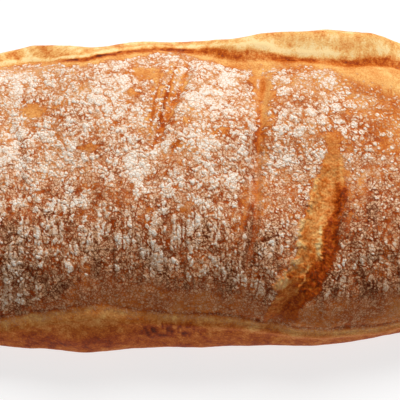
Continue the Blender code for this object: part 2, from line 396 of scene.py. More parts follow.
@dataclass(frozen=True)
class LoafBody:
    """The plain body and its main relief, from the same named sizes as the solid."""

    length: float = 0.265
    half_width: float = 0.062
    height: float = 0.060
    belly_height: float = 0.018
    pressed_flat: float = 0.0006
    plan_fullness: float = 3.0
    profile_fullness: float = 2.6
    underside_fullness: float = 8.0
    end_power: float = 3.0
    top_power: float = 2.3
    foot_power: float = 4.6
    base_blend: float = 0.012
    table_steps: int = 4001
    normal_step: float = 1e-4

    far_crease: Knots = (
        (-0.080, 0.0400), (-0.064, 0.0390), (-0.052, 0.0430), (-0.040, 0.0460),
        (-0.028, 0.0420), (-0.012, 0.0370), (0.004, 0.0375), (0.020, 0.0435),
        (0.036, 0.0435), (0.052, 0.0455), (0.068, 0.0445), (0.084, 0.0400),
    )
    near_crease: Knots = (
        (-0.076, 0.0280), (-0.060, 0.0325), (-0.046, 0.0370), (-0.034, 0.0390),
        (-0.022, 0.0365), (-0.006, 0.0350), (0.010, 0.0345), (0.023, 0.0325),
        (0.036, 0.0290), (0.056, 0.0270), (0.080, 0.0235),
    )
    end_crease: float = 0.038
    far_line: Knots = (
        (-0.068, 0.0026), (-0.058, 0.0043), (-0.048, 0.0044), (-0.038, 0.0034),
        (-0.028, 0.0038), (-0.018, 0.0028), (-0.010, 0.0023), (-0.003, 0.0026),
        (0.004, 0.0018), (0.010, 0.0009), (0.016, 0.0009), (0.021, 0.0008),
        (0.027, 0.0005), (0.034, 0.0009), (0.046, 0.0016), (0.066, 0.0008), (0.084, -0.0006),
    )
    near_line: float = 0.0008
    crease_depth: float = 0.0016
    crease_width: float = 0.0026
    lip_height: float = 0.0009
    lip_offset: float = 0.0046
    lip_width: float = 0.0024
    least_steepness: float = 0.2

    far_swell: Knots = (
        (-0.078, 0.0030), (-0.060, 0.0044), (-0.050, 0.0024), (-0.038, -0.0006),
        (-0.020, 0.0006), (0.000, 0.0022), (0.014, 0.0048), (0.030, 0.0079),
        (0.046, 0.0085), (0.056, 0.0097), (0.074, 0.0108), (0.086, 0.0102),
    )
    near_swell: Knots = (
        (-0.076, 0.0015), (-0.058, 0.0020), (-0.046, 0.0024), (-0.032, 0.0014), (-0.016, 0.0006),
        (0.000, 0.0005), (0.020, -0.0001), (0.050, -0.0002), (0.080, -0.0007),
    )
    end_swell: float = 0.0020
    far_swell_starts: Knots = (
        (-0.080, -0.004), (-0.040, -0.004), (0.000, -0.006), (0.022, -0.006), (0.042, -0.003),
    )
    near_swell_starts: float = 0.0
    end_swell_starts: float = 0.0
    swell_rises_over: float = 0.010
    swell_eases_over: tuple[float, float] = (0.012, 0.040)
    low_shares: tuple[float, float, float] = (0.22, 1.0, 0.8)
    ends_from: float = 0.076
    ends_wholly_at: float = 0.124

    lump_seed: int = 7
    lump_waves: int = 14
    lump_longest: float = 0.090
    lump_shortest: float = 0.028
    lump_height: float = 0.0008
    folds: tuple[Streak, ...] = (TEAR, LONG_FOLD, LEFT_FOLD, END_FOLD)

    def rounded(self, along: Array, fullness: float) -> Array:
        """The share of full size left on the way to an end: 1 less a power, to the end power's root."""
        return (1.0 - np.minimum(np.abs(along), 1.0) ** fullness) ** (1.0 / self.end_power)

    def plain(self, along: Array, turn: Array) -> Array:
        """Points of the plain body: a rounded square section, scaled by outlines along it.

        Args:
            along: From -1 at the -X end to 1 at the +X end.
            turn: From 0 on top to pi underneath, negative on the near side.

        Returns:
            One point for each pair.
        """
        top_rise = self.height - self.belly_height
        width = self.half_width * self.rounded(along, self.plan_fullness)
        top = top_rise * self.rounded(along, self.profile_fullness)
        underside = (self.belly_height + self.pressed_flat) * self.rounded(along, self.underside_fullness)
        sine, cosine = np.abs(np.sin(turn)), np.abs(np.cos(turn))
        upper = np.abs(turn) < math.pi / 2
        upper_power, lower_power = 2 / self.top_power, 2 / self.foot_power
        out = np.where(upper, sine**upper_power, sine**lower_power)
        up = np.where(upper, top * cosine**upper_power, -underside * cosine**lower_power)
        x, y, z = along * self.length / 2, np.sign(turn) * width * out, self.belly_height + up
        return np.stack([x, y, z], axis=1)

    def section(self) -> tuple[Array, Array, Array]:
        """Half of the middle section, from the top to underneath.

        Returns:
            Its turns, the length of skin up to each of them, and its points.
        """
        turns = np.linspace(0.0, math.pi, self.table_steps)
        points = self.plain(np.zeros(self.table_steps), turns)
        steps = np.linalg.norm(np.diff(points, axis=0), axis=1)
        return turns, np.concatenate(([0.0], np.cumsum(steps))), points

    def skin_at(self, turn: Array) -> Array:
        """The skin from the top centre line to a turn."""
        turns, skin, _ = self.section()
        return np.sign(turn) * np.interp(np.abs(turn), turns, skin)

    def turn_of(self, skin: Array) -> Array:
        """The turn at a length of skin from the top centre line."""
        turns, lengths, _ = self.section()
        return np.sign(skin) * np.interp(np.abs(skin), lengths, turns)

    def normals(self, along: Array, turn: Array) -> Array:
        """Outward normals of the plain body: the cross product of two short steps on it.

        Args:
            along: From -1 at the -X end to 1 at the +X end.
            turn: From 0 on top to pi underneath, negative on the near side.

        Returns:
            One unit row for each pair, straight outwards at the two ends.
        """
        step = self.normal_step
        ahead, behind = np.clip(along + step, -1, 1), np.clip(along - step, -1, 1)
        lengthwise = self.plain(ahead, turn) - self.plain(behind, turn)
        crosswise = self.plain(along, turn + step) - self.plain(along, turn - step)
        normals = np.cross(lengthwise, crosswise)
        sizes = np.linalg.norm(normals, axis=1, keepdims=True)
        ends = np.stack([np.sign(along), np.zeros_like(along), np.zeros_like(along)], axis=1)
        return np.where(sizes > TINY, normals / np.maximum(sizes, TINY), ends)

    def by_side(self, x: Array, far: Array, far_value: Array, near_value: Array, end_value: float) -> Array:
        """A value of each side, which passes into one value round both ends."""
        side = np.where(far, far_value, near_value)
        return side + (end_value - side) * rise_over(np.abs(x), self.ends_from, self.ends_wholly_at)

    def crease_height(self, x: Array, far: Array) -> Array:
        """The height of the crease above the base."""
        far_height = through_knots(x, self.far_crease)
        return self.by_side(x, far, far_height, through_knots(x, self.near_crease), self.end_crease)

    def crease_turn(self, along: Array, far: Array) -> Array:
        """The turn at which the plain body is as high as the crease.

        Args:
            along: From -1 at the -X end to 1 at the +X end.
            far: Whether it is the far side's crease.

        Returns:
            The turn for each pair, from 0 to a quarter.
        """
        over_belly = self.crease_height(along * self.length / 2, far) - self.belly_height
        up = over_belly / (self.height - self.belly_height)
        up /= np.maximum(self.rounded(along, self.profile_fullness), TINY)
        return np.arccos(np.minimum(up, 1.0) ** (self.top_power / 2))

    def places(self, along: Array, turn: Array) -> Places:
        """What relief and colours are read from, at pairs of along and turn.

        Args:
            along: From -1 at the -X end to 1 at the +X end.
            turn: From 0 on top to pi underneath, negative on the near side.

        Returns:
            The places, where below is the distance down the side from the solid's crease,
            and edge is the same from the line where the band's bare crust starts.
        """
        body = self.plain(along, turn)
        normals = self.normals(along, turn)
        steepness = np.sqrt(1.0 - np.minimum(normals[:, 2] ** 2, 1.0))
        drop = self.crease_height(body[:, 0], body[:, 1] > 0) - body[:, 2]
        below = drop / np.maximum(steepness, self.least_steepness)
        lines = through_knots(body[:, 0], self.far_line)
        edge = below + self.by_side(body[:, 0], body[:, 1] > 0, lines, self.near_line, 0.0)
        return Places(body[:, 0], self.skin_at(turn), body, normals, below, edge)

    def side_relief(self, at: Places) -> Array:
        """The crease, the lip below it and the swelling of the bands, as bells and rises.

        Args:
            at: The places to read it at.

        Returns:
            The height in metres.
        """
        groove = -self.crease_depth * bump_at(at.below, 0.0, self.crease_width)
        lip = self.lip_height * bump_at(at.below, self.lip_offset, self.lip_width)
        far_swell, near_swell = through_knots(at.x, self.far_swell), through_knots(at.x, self.near_swell)
        swell = self.by_side(at.x, at.far, far_swell, near_swell, self.end_swell)
        low_share = self.by_side(at.x, at.far, *self.low_shares)
        eased = 1.0 - (1.0 - low_share) * rise_over(at.below, *self.swell_eases_over)
        far_start = through_knots(at.x, self.far_swell_starts)
        start = self.by_side(at.x, at.far, far_start, self.near_swell_starts, self.end_swell_starts)
        return groove + lip + swell * eased * rise_over(at.below, start, start + self.swell_rises_over)

    def lumps(self, at: Places) -> Array:
        """Slow lumps of the dough: a sum of seeded waves, the longest of them the highest.

        Args:
            at: The places to read it at.

        Returns:
            The height in metres.
        """
        rng = np.random.default_rng(self.lump_seed)
        headings = rng.normal(size=(self.lump_waves, 3))
        headings /= np.linalg.norm(headings, axis=1, keepdims=True)
        wavelengths = np.geomspace(self.lump_longest, self.lump_shortest, self.lump_waves)
        phases = rng.uniform(0.0, math.tau, self.lump_waves)
        waves = np.sin(at.body @ (headings * math.tau / wavelengths[:, None]).T + phases)
        return waves @ (self.lump_height * wavelengths / self.lump_longest)

    def main_relief(self, at: Places) -> Array:
        """All the relief that the solid has too."""
        return self.side_relief(at) + self.lumps(at) - sum(fold.at(at.x, at.skin) for fold in self.folds)


@dataclass
class Crust:
    """The baked crust: the main form and its fine relief."""

    body: LoafBody = field(default_factory=LoafBody)
    hill_size: float = 0.011
    hill_height: float = 0.00036
    pebble_size: float = 0.0042
    pebble_height: float = 0.00020
    band_starts: tuple[float, float] = (0.0, 0.003)
    pebbles_lost_on_band: float = 0.45
    rib_spacing: float = 0.0034
    rib_length: float = 0.020
    rib_height: float = 0.00042
    sharp_size: float = 0.010
    far_sharpness: tuple[float, float] = (0.385, 0.495)
    near_sharpness: tuple[float, float] = (0.231, 0.297)
    far_fill: float = 0.0020
    near_fill: float = 0.0016
    seam_depth: float = 0.0006
    seam_at: tuple[float, float] = (-0.0006, 0.0008)
    edge_height: float = 0.0005
    edge_at: tuple[float, float] = (0.0016, 0.0008)
    foot: Array = field(default_factory=lambda: np.zeros(3))

    def ribs(self, at: Places) -> Array:
        """Ridges down the near slope: noise that is long in skin and short in x.

        Args:
            at: The places to read it at.

        Returns:
            From -1 to 1, and 0 on top and on the bands.
        """
        slope = at.near_slope * (1.0 - rise_over(at.edge, *self.band_starts))
        return slope * soft_noise(stretched(at.x, at.skin, self.rib_spacing, self.rib_length), 1.0, Seed.RIBS)

    def fine_relief(self, at: Places) -> Array:
        """Hills and pebbles all over, ribs down the near slope, and the creases' sharp edges.

        Args:
            at: The places to read it at.

        Returns:
            The height in metres: noise of two sizes, less on the bare bands, the ribs, and a
            narrow bell down and one up beside the line where a band starts, of uneven strength.
            A wide bell half fills the solid's crease, so that the narrow one shows.
        """
        on_band = rise_over(at.edge, *self.band_starts)
        hills = self.hill_height * soft_noise(at.body, self.hill_size, Seed.HILLS)
        pebbles = self.pebble_height * layered_noise(at.body, self.pebble_size, Seed.PEBBLES, 2)
        uneven = soft_noise(at.body, self.sharp_size, Seed.SHARP_EDGES)
        far_sharp = self.far_sharpness[0] + self.far_sharpness[1] * uneven
        near_sharp = self.near_sharpness[0] + self.near_sharpness[1] * uneven
        sharp = np.where(at.far, far_sharp, near_sharp)
        seam = self.edge_height * bump_at(at.edge, *self.edge_at)
        seam -= self.seam_depth * bump_at(at.edge, *self.seam_at)
        fill = np.where(at.far, self.far_fill, self.near_fill)
        fill *= bump_at(at.below, 0.0, self.body.crease_width)
        smoother = 1.0 - self.pebbles_lost_on_band * on_band
        return hills + pebbles * smoother + self.rib_height * self.ribs(at) + sharp * seam + fill

    def points(self, at: Places, raised: Array | float = 0.0) -> Array:
        """Points of the crust, with the base flat and the foot of the box at the origin.

        Args:
            at: The places on the plain body.
            raised: What lies on the crust there, in metres.

        Returns:
            One point for each place.
        """
        relief = self.body.main_relief(at) + self.fine_relief(at)
        relief *= rise_over(at.body[:, 2], 0.0, self.body.base_blend)
        crust = at.body + at.normals * (relief + raised)[:, None]
        crust[:, 2] = np.maximum(crust[:, 2], 0.0)
        return crust - self.foot


@dataclass
class Surface:
    """What the top's skin is at each place: what is raised on it, and what colours it."""

    raised: Array
    browning_and_painted_light: Array
    flour: Array
    tone: Array


@dataclass(frozen=True)
class Cracks:
    """The cracks in the flour: between plates, between flakes and down the near slope."""

    plate_width: float = 0.00024
    flake_width: float = 0.00020
    flake_depth: tuple[float, float] = (0.35, 0.75)
    crackly_size: float = 0.0130
    crackly_over: tuple[float, float] = (-0.45, 0.35)
    slope_size: tuple[float, float] = (0.0034, 0.0180)
    slope_depth: float = 1.5
    slope_thinness: float = 0.13

    def at(self, at: Places, plates: Cracked, flakes: Cracked) -> Array:
        """How deep the cracks are: the largest of three bells.

        Two are round the borders of the cells, and slow noise makes the flakes' one deeper. The
        third is where noise that is long in skin and short in x passes through 0.

        Args:
            at: The places to read it at.
            plates: The large cells there.
            flakes: The small cells there.

        Returns:
            From 0, where flour isn't cracked, to 1, or more on the near slope.
        """
        crackly = rise_over(soft_noise(at.grain, self.crackly_size, Seed.CRACKLY), *self.crackly_over)
        depth = self.flake_depth[0] + self.flake_depth[1] * crackly
        fine = depth * bump_at(flakes.border, 0.0, self.flake_width)
        coarse = bump_at(plates.border, 0.0, self.plate_width)
        lines = soft_noise(stretched(at.x, at.skin, *self.slope_size), 1.0, Seed.SLOPE_CRACKS)
        down = self.slope_depth * at.near_slope * bump_at(lines, 0.0, self.slope_thinness)
        return np.maximum(np.maximum(fine, coarse), down)


@dataclass(frozen=True)
class Dusting:
    """Thin flour between the flakes: crumbs, a film, and a haze low on the near slope."""

    film: float = 0.23
    film_size: float = 0.0022
    film_swing: float = 0.9
    film_lost_on_slope: float = 0.3
    haze: float = 0.19
    haze_size: float = 0.0024
    haze_swing: float = 0.6
    haze_keep: float = 0.9
    haze_starts: tuple[float, float] = (-0.009, 0.001)
    haze_ends: tuple[float, float] = (0.014, 0.026)
    crumb: float = 0.6
    crumb_chance: tuple[float, float] = (0.08, 0.42)
    crumb_blur: float = 0.05
    crumbs_start: tuple[float, float] = (-0.0004, 0.0012)
    crumbs_on_bare: float = 0.25
    crumbs_full_at: float = 0.35
    crumbs_lost_in_haze: float = 0.7

    def low(self, at: Places) -> Array:
        """The near slope's strip beside its crease, where the haze lies: three rises multiplied."""
        above = -at.edge
        return at.near_slope * (1.0 - rise_over(above, *self.haze_ends)) * rise_over(above, *self.haze_starts)

    def even(self, at: Places, veil: Array) -> Array:
        """The film or the haze, whichever is more, each broken up by noise.

        Args:
            at: The places to read it at.
            veil: The share that the film covers.

        Returns:
            How much flour lies there.
        """
        film = self.film * veil * (1.0 - self.film_lost_on_slope * at.near_slope)
        film *= 1.0 + self.film_swing * soft_noise(at.body, self.film_size, Seed.FILM)
        haze_noise = layered_noise(at.body, self.haze_size, Seed.HAZE, 3, self.haze_keep)
        return np.maximum(film, self.haze * self.low(at) * (1.0 + self.haze_swing * haze_noise))

    def crumbs(self, at: Places, share: Array, veil: Array, specks: Cracked) -> Array:
        """Crumbs: the specks whose shade is under a chance, fewer on bare crust and in the haze.

        Args:
            at: The places to read it at.
            share: The share of the crust that flakes cover.
            veil: The share that the film covers.
            specks: The smallest cells there.

        Returns:
            How much flour lies there.
        """
        least, more = self.crumb_chance
        crumb = self.crumb * rise_over(least + more * veil - specks.shade, -self.crumb_blur, self.crumb_blur)
        near_flakes = rise_over(share, 0.0, self.crumbs_full_at)
        crumb *= self.crumbs_on_bare + (1.0 - self.crumbs_on_bare) * near_flakes
        crumb *= 1.0 - self.crumbs_lost_in_haze * self.low(at)
        return crumb * rise_over(-at.edge, *self.crumbs_start)


@dataclass(frozen=True)
class Whiteness:
    """What makes flour white or dull, with painted shade down the near slope."""

    plain: float = -0.14
    by_thickness: float = 0.60
    by_flake: float = 0.44
    by_speck: float = 0.36
    by_smear: float = 0.30
    drift: float = 0.22
    drift_size: float = 0.0070
    dulled_and_shaded_on_slope: float = 0.26
    slope_over: tuple[float, float] = (0.008, 0.040)
    dulled_and_shaded_at_foot: float = 0.30
    foot_over: tuple[float, float] = (0.042, 0.070)

    def at(self, at: Places, thick: Array, smear: Array, flakes: Cracked, specks: Cracked) -> Array:
        """Adds up thickness, smears, each cell's shade and slow drifts, less down the near slope for thinner
        flour and painted shade.

        Args:
            at: The places to read it at.
            thick: How thick the flour is, from 0 to 1.
            smear: How much is smeared there.
            flakes: The small cells there.
            specks: The smallest cells there.

        Returns:
            From 0, dull, to 1, white.
        """
        tone = self.plain + self.by_thickness * thick + self.by_smear * smear
        tone += self.by_flake * flakes.shade + self.by_speck * specks.shade
        tone += self.drift * layered_noise(at.grain, self.drift_size, Seed.WHITENESS, 2)
        # Painted shade and thinner flour dull it down the near slope and at its foot.
        tone -= self.dulled_and_shaded_on_slope * rise_over(-at.skin, *self.slope_over)
        tone -= self.dulled_and_shaded_at_foot * rise_over(-at.skin, *self.foot_over)
        return np.clip(tone, 0.0, 1.0)


@dataclass
class FlourMap:
    """Where flour lies on the crust and how it has cracked into flakes."""

    by_x: Knots = (
        (-0.130, 0.80), (-0.060, 0.88), (-0.010, 0.88), (0.022, 0.88),
        (0.036, 0.84), (0.048, 0.80), (0.062, 0.58), (0.130, 0.60),
    )
    near_fade_starts: Knots = (
        (-0.070, -0.003), (-0.050, 0.000), (-0.036, 0.003), (0.030, 0.003), (0.060, 0.006),
    )
    near_fade_ends: Knots = (
        (-0.070, 0.008), (-0.050, 0.015), (-0.036, 0.025), (0.030, 0.022), (0.060, 0.023),
    )
    far_fade_starts: Knots = (
        (-0.070, 0.001), (-0.048, 0.005), (-0.022, 0.006), (-0.002, 0.003),
        (0.010, 0.008), (0.022, 0.0095), (0.030, 0.0060), (0.040, 0.0030),
    )
    far_fade_width: float = 0.004
    edge_stray: float = 0.8
    veil_fade: tuple[float, float] = (-0.002, 0.008)
    patches: tuple[Patch, ...] = (
        Patch(-0.0594, 0.0214, 0.0054, 0.0048, -0.86),
        Patch(-0.0493, 0.0203, 0.0026, 0.0016, -0.8, 80.0),
        Patch(-0.0368, 0.0009, 0.0044, 0.0034, -0.8, 20.0),
        Patch(-0.0167, 0.0406, 0.0085, 0.0050, -0.72),
        Patch(-0.0196, 0.0277, 0.0034, 0.0028, -0.7),
        Patch(0.0000, 0.0121, 0.0018, 0.0018, -0.9),
        Patch(0.0135, 0.0070, 0.0042, 0.0028, -0.8),
        Patch(0.0284, 0.0380, 0.0110, 0.0026, -0.9, 90.0),
        Patch(0.0015, -0.0243, 0.0034, 0.0018, -1.0, 80.0),
        Patch(0.0234, -0.0300, 0.0110, 0.0017, -1.2, 82.0),
        Patch(0.0566, -0.0310, 0.0175, 0.0036, -1.2, 76.0),
        Patch(-0.0135, -0.0240, 0.0060, 0.0010, -0.9, 88.0),
        Patch(-0.0122, 0.0232, 0.0158, 0.0010, -1.1, 83.3),
        Patch(-0.0070, 0.0300, 0.0200, 0.0011, -1.5, 79.4),
        Patch(-0.0320, -0.0160, 0.0130, 0.0050, -0.45, -15.0),
        Patch(-0.0519, -0.0146, 0.0034, 0.0034, -0.5),
        Patch(-0.0060, -0.0060, 0.0110, 0.0030, -0.5, 25.0),
        Patch(0.0400, 0.0520, 0.0300, 0.0090, -0.62),
        Patch(0.0850, 0.0470, 0.0300, 0.0110, -0.62),
        Patch(0.0350, -0.0190, 0.0090, 0.0080, -0.40),
        Patch(0.0575, 0.0030, 0.0110, 0.0024, -0.35, 95.0),
        Patch(0.0575, -0.0120, 0.0230, 0.0038, -0.60, 92.0),
        Patch(0.0680, -0.0160, 0.0080, 0.0022, -0.5, 90.0),
        Patch(-0.0340, -0.0480, 0.0100, 0.0080, -0.25, 20.0),
        Patch(-0.0086, 0.0012, 0.0052, 0.0021, 1.0, 58.0, Lie.SMEAR),
        Patch(-0.0040, 0.0012, 0.0050, 0.0014, -0.9, 55.0),
        Patch(-0.0230, -0.0074, 0.0046, 0.0011, 0.95, 18.0, Lie.SMEAR),
        Patch(0.0160, 0.0370, 0.0050, 0.0040, 0.8, 0.0, Lie.SMEAR),
        Patch(0.0080, 0.0300, 0.0030, 0.0022, 0.8, 20.0, Lie.SMEAR),
        Patch(0.0481, 0.0172, 0.0018, 0.0018, 0.9, 0.0, Lie.SMEAR),
        Patch(0.0541, 0.0130, 0.0018, 0.0018, 0.9, 0.0, Lie.SMEAR),
        Patch(-0.0640, 0.0440, 0.0120, 0.0050, 0.42, 0.0, Lie.SMEAR),
        Patch(0.0545, 0.0240, 0.0050, 0.0015, 0.75, 85.0, Lie.SMEAR),
    )
    fold_bare: dict[Streak, tuple[float, float]] = field(
        default_factory=lambda: {LONG_FOLD: (0.60, 1.10), LEFT_FOLD: (0.10, 0.50)}
    )
    fold_cleared: float = 0.95
    fold_full_at: float = 0.0008
    lip_at: tuple[float, float] = (-0.75, 0.24)
    lip_flour: float = 0.8
    lip_gap_size: float = 0.0045
    lip_gaps: tuple[float, float] = (-0.25, 0.15)
    stray: float = 0.0024
    stray_size: float = 0.0046
    stray_keep: float = 0.7

    plates: Crackle = Crackle(0.0052, Seed.PLATES)
    flakes: Crackle = Crackle(0.0021, Seed.FLAKES)
    specks: Crackle = Crackle(0.0011, Seed.SPECKS)
    wobble: float = 0.0005
    wobble_size: float = 0.0024
    cracks: Cracks = Cracks()
    dusting: Dusting = Dusting()
    whiteness: Whiteness = Whiteness()

    drift: float = 0.28
    drift_size: float = 0.018
    rib_flour: float = 0.62
    clumpiness: float = 0.56
    clump_size: float = 0.0048
    clump_keep: float = 0.75
    lit_bonus: float = 0.20
    speck_luck: float = 0.62
    flake_luck: float = 0.30
    luck_on_bare: float = 0.45
    bare_in_cracks: float = 0.88
    flake_over: tuple[float, float] = (0.35, 0.58)
    thick_over: tuple[float, float] = (0.34, 1.40)
    round_edge: float = 0.00016
    level_at_edge: float = 0.55
    smear_cracked: float = 0.5
    gap_over: tuple[float, float] = (0.1, 0.5)
    # Painted shade: the crust in the flour's cracks is darker.
    crack_shade: float = 0.25
    thickest: float = 0.00030
    smear_thickness: float = 0.8
    edge_height: float = 0.00013
    crack_depth: float = 0.00014
    thinner_on_slope: float = 0.25

    def coverage(self, at: Places) -> tuple[Array, Array, Array]:
        """The share of the crust that flakes cover, the smooth smears, and the film's share.

        Knots give the first along the loaf. Patches add to it or take from it, at places that
        noise has pushed aside, and it fades out towards the creases and in the folds. A fold's
        left lip holds a broken line of smeared flour.

        Args:
            at: The places to read it at.

        Returns:
            Three shares from 0 to 1: the cover, the smears and the film's veil.
        """
        strays = [
            self.stray * layered_noise(at.body, self.stray_size, seed, 3, self.stray_keep)
            for seed in (Seed.STRAY_X, Seed.STRAY_SKIN)
        ]
        x, skin = at.x + strays[0], at.skin + strays[1]
        share, smear = through_knots(at.x, self.by_x), np.zeros(len(at.x))
        for patch in self.patches:
            if patch.lie is Lie.BARE:
                share = share + patch.at(x, skin)
            else:
                smear = np.maximum(smear, patch.at((at.x + x) / 2, (at.skin + skin) / 2))
        above = -at.edge + self.edge_stray * (skin - at.skin)
        far_starts = through_knots(at.x, self.far_fade_starts)
        starts = np.where(at.far, far_starts, through_knots(at.x, self.near_fade_starts))
        ends = np.where(at.far, far_starts + self.far_fade_width, through_knots(at.x, self.near_fade_ends))
        share = np.clip(share, 0.0, 1.0) * rise_over(above, starts, ends)
        unbroken = rise_over(soft_noise(at.body, self.lip_gap_size, Seed.LIP_GAPS), *self.lip_gaps)
        for fold, bare_at in self.fold_bare.items():
            there = rise_over(through_knots(at.skin, fold.strength), 0.0, self.fold_full_at)
            share *= 1.0 - self.fold_cleared * there * bump_at(fold.across(x, at.skin), *bare_at)
            lip = there * bump_at(fold.across(at.x, at.skin), *self.lip_at)
            smear = np.maximum(smear, self.lip_flour * unbroken * lip)
        return share, smear, np.where(at.far, share, rise_over(above, *self.veil_fade))

    def lay(self, at: Places, ribs: Array, browning_and_painted_light: Array) -> tuple[Surface, Array]:
        """Lays the flour on the crust: ragged flakes, cracks in them, crumbs, smears and a film.

        Slow drifts, the ribs, clumps of four sizes and a bonus on the lit top multiply the share
        that flakes cover. The cells' chances are added, and cracks are taken off. A flake lies
        where the sum is high, thicker the higher it is. The most of all that lies there counts.

        Args:
            at: The places to read it at.
            ribs: The near slope's ridges there, from -1 to 1.
            browning_and_painted_light: How dark the crust is there.

        Returns:
            The surface, and the x of the plate that each place belongs to.
        """
        seeds = (Seed.WOBBLE_X, Seed.WOBBLE_Y, Seed.WOBBLE_Z)
        shaken = [self.wobble * soft_noise(at.body, self.wobble_size, seed) for seed in seeds]
        shaken = np.stack(shaken, axis=1)
        spots = at.grain + shaken
        plates, flakes = self.plates.at(spots), self.flakes.at(spots)
        specks = self.specks.at(at.body + shaken)
        share, smear, veil = self.coverage(at)
        crack = self.cracks.at(at, plates, flakes)

        ease = 1.0 + self.lit_bonus * (1.0 - at.near_slope) + self.rib_flour * ribs
        ease += self.drift * layered_noise(at.grain, self.drift_size, Seed.DRIFTS, 2)
        ease += self.clumpiness * layered_noise(spots, self.clump_size, Seed.CLUMPS, 4, self.clump_keep)
        luck = self.speck_luck * (specks.chance - 0.5) + self.flake_luck * (flakes.chance - 0.5)
        luck *= self.luck_on_bare + (1.0 - self.luck_on_bare) * share
        lies = share * ease + luck - self.bare_in_cracks * crack
        flake, thick = rise_over(lies, *self.flake_over), rise_over(lies, *self.thick_over)

        rounded = 1.0 - np.exp(-np.maximum(specks.border, 0.0) / self.round_edge)
        crumb = rounded * self.dusting.crumbs(at, share, veil, specks)
        flat = flake * (self.level_at_edge + (1.0 - self.level_at_edge) * rounded)
        smeared = smear * (1.0 - self.smear_cracked * crack)
        level = np.maximum.reduce([flat, crumb, smeared, self.dusting.even(at, veil)])
        gap = np.minimum(crack, 1.0) * rise_over(share, *self.gap_over) * (1.0 - smear)
        tone = self.whiteness.at(at, thick, smear, flakes, specks)
        laid = self.thickest * np.maximum(thick, self.smear_thickness * smear)
        laid += self.edge_height * np.maximum(flake * rounded, crumb)
        raised = laid * (1.0 - self.thinner_on_slope * at.near_slope) - self.crack_depth * gap
        # The crust in the cracks darkens by painted shade.
        return Surface(raised, browning_and_painted_light + self.crack_shade * gap, level, tone), plates.centre[:, 0]


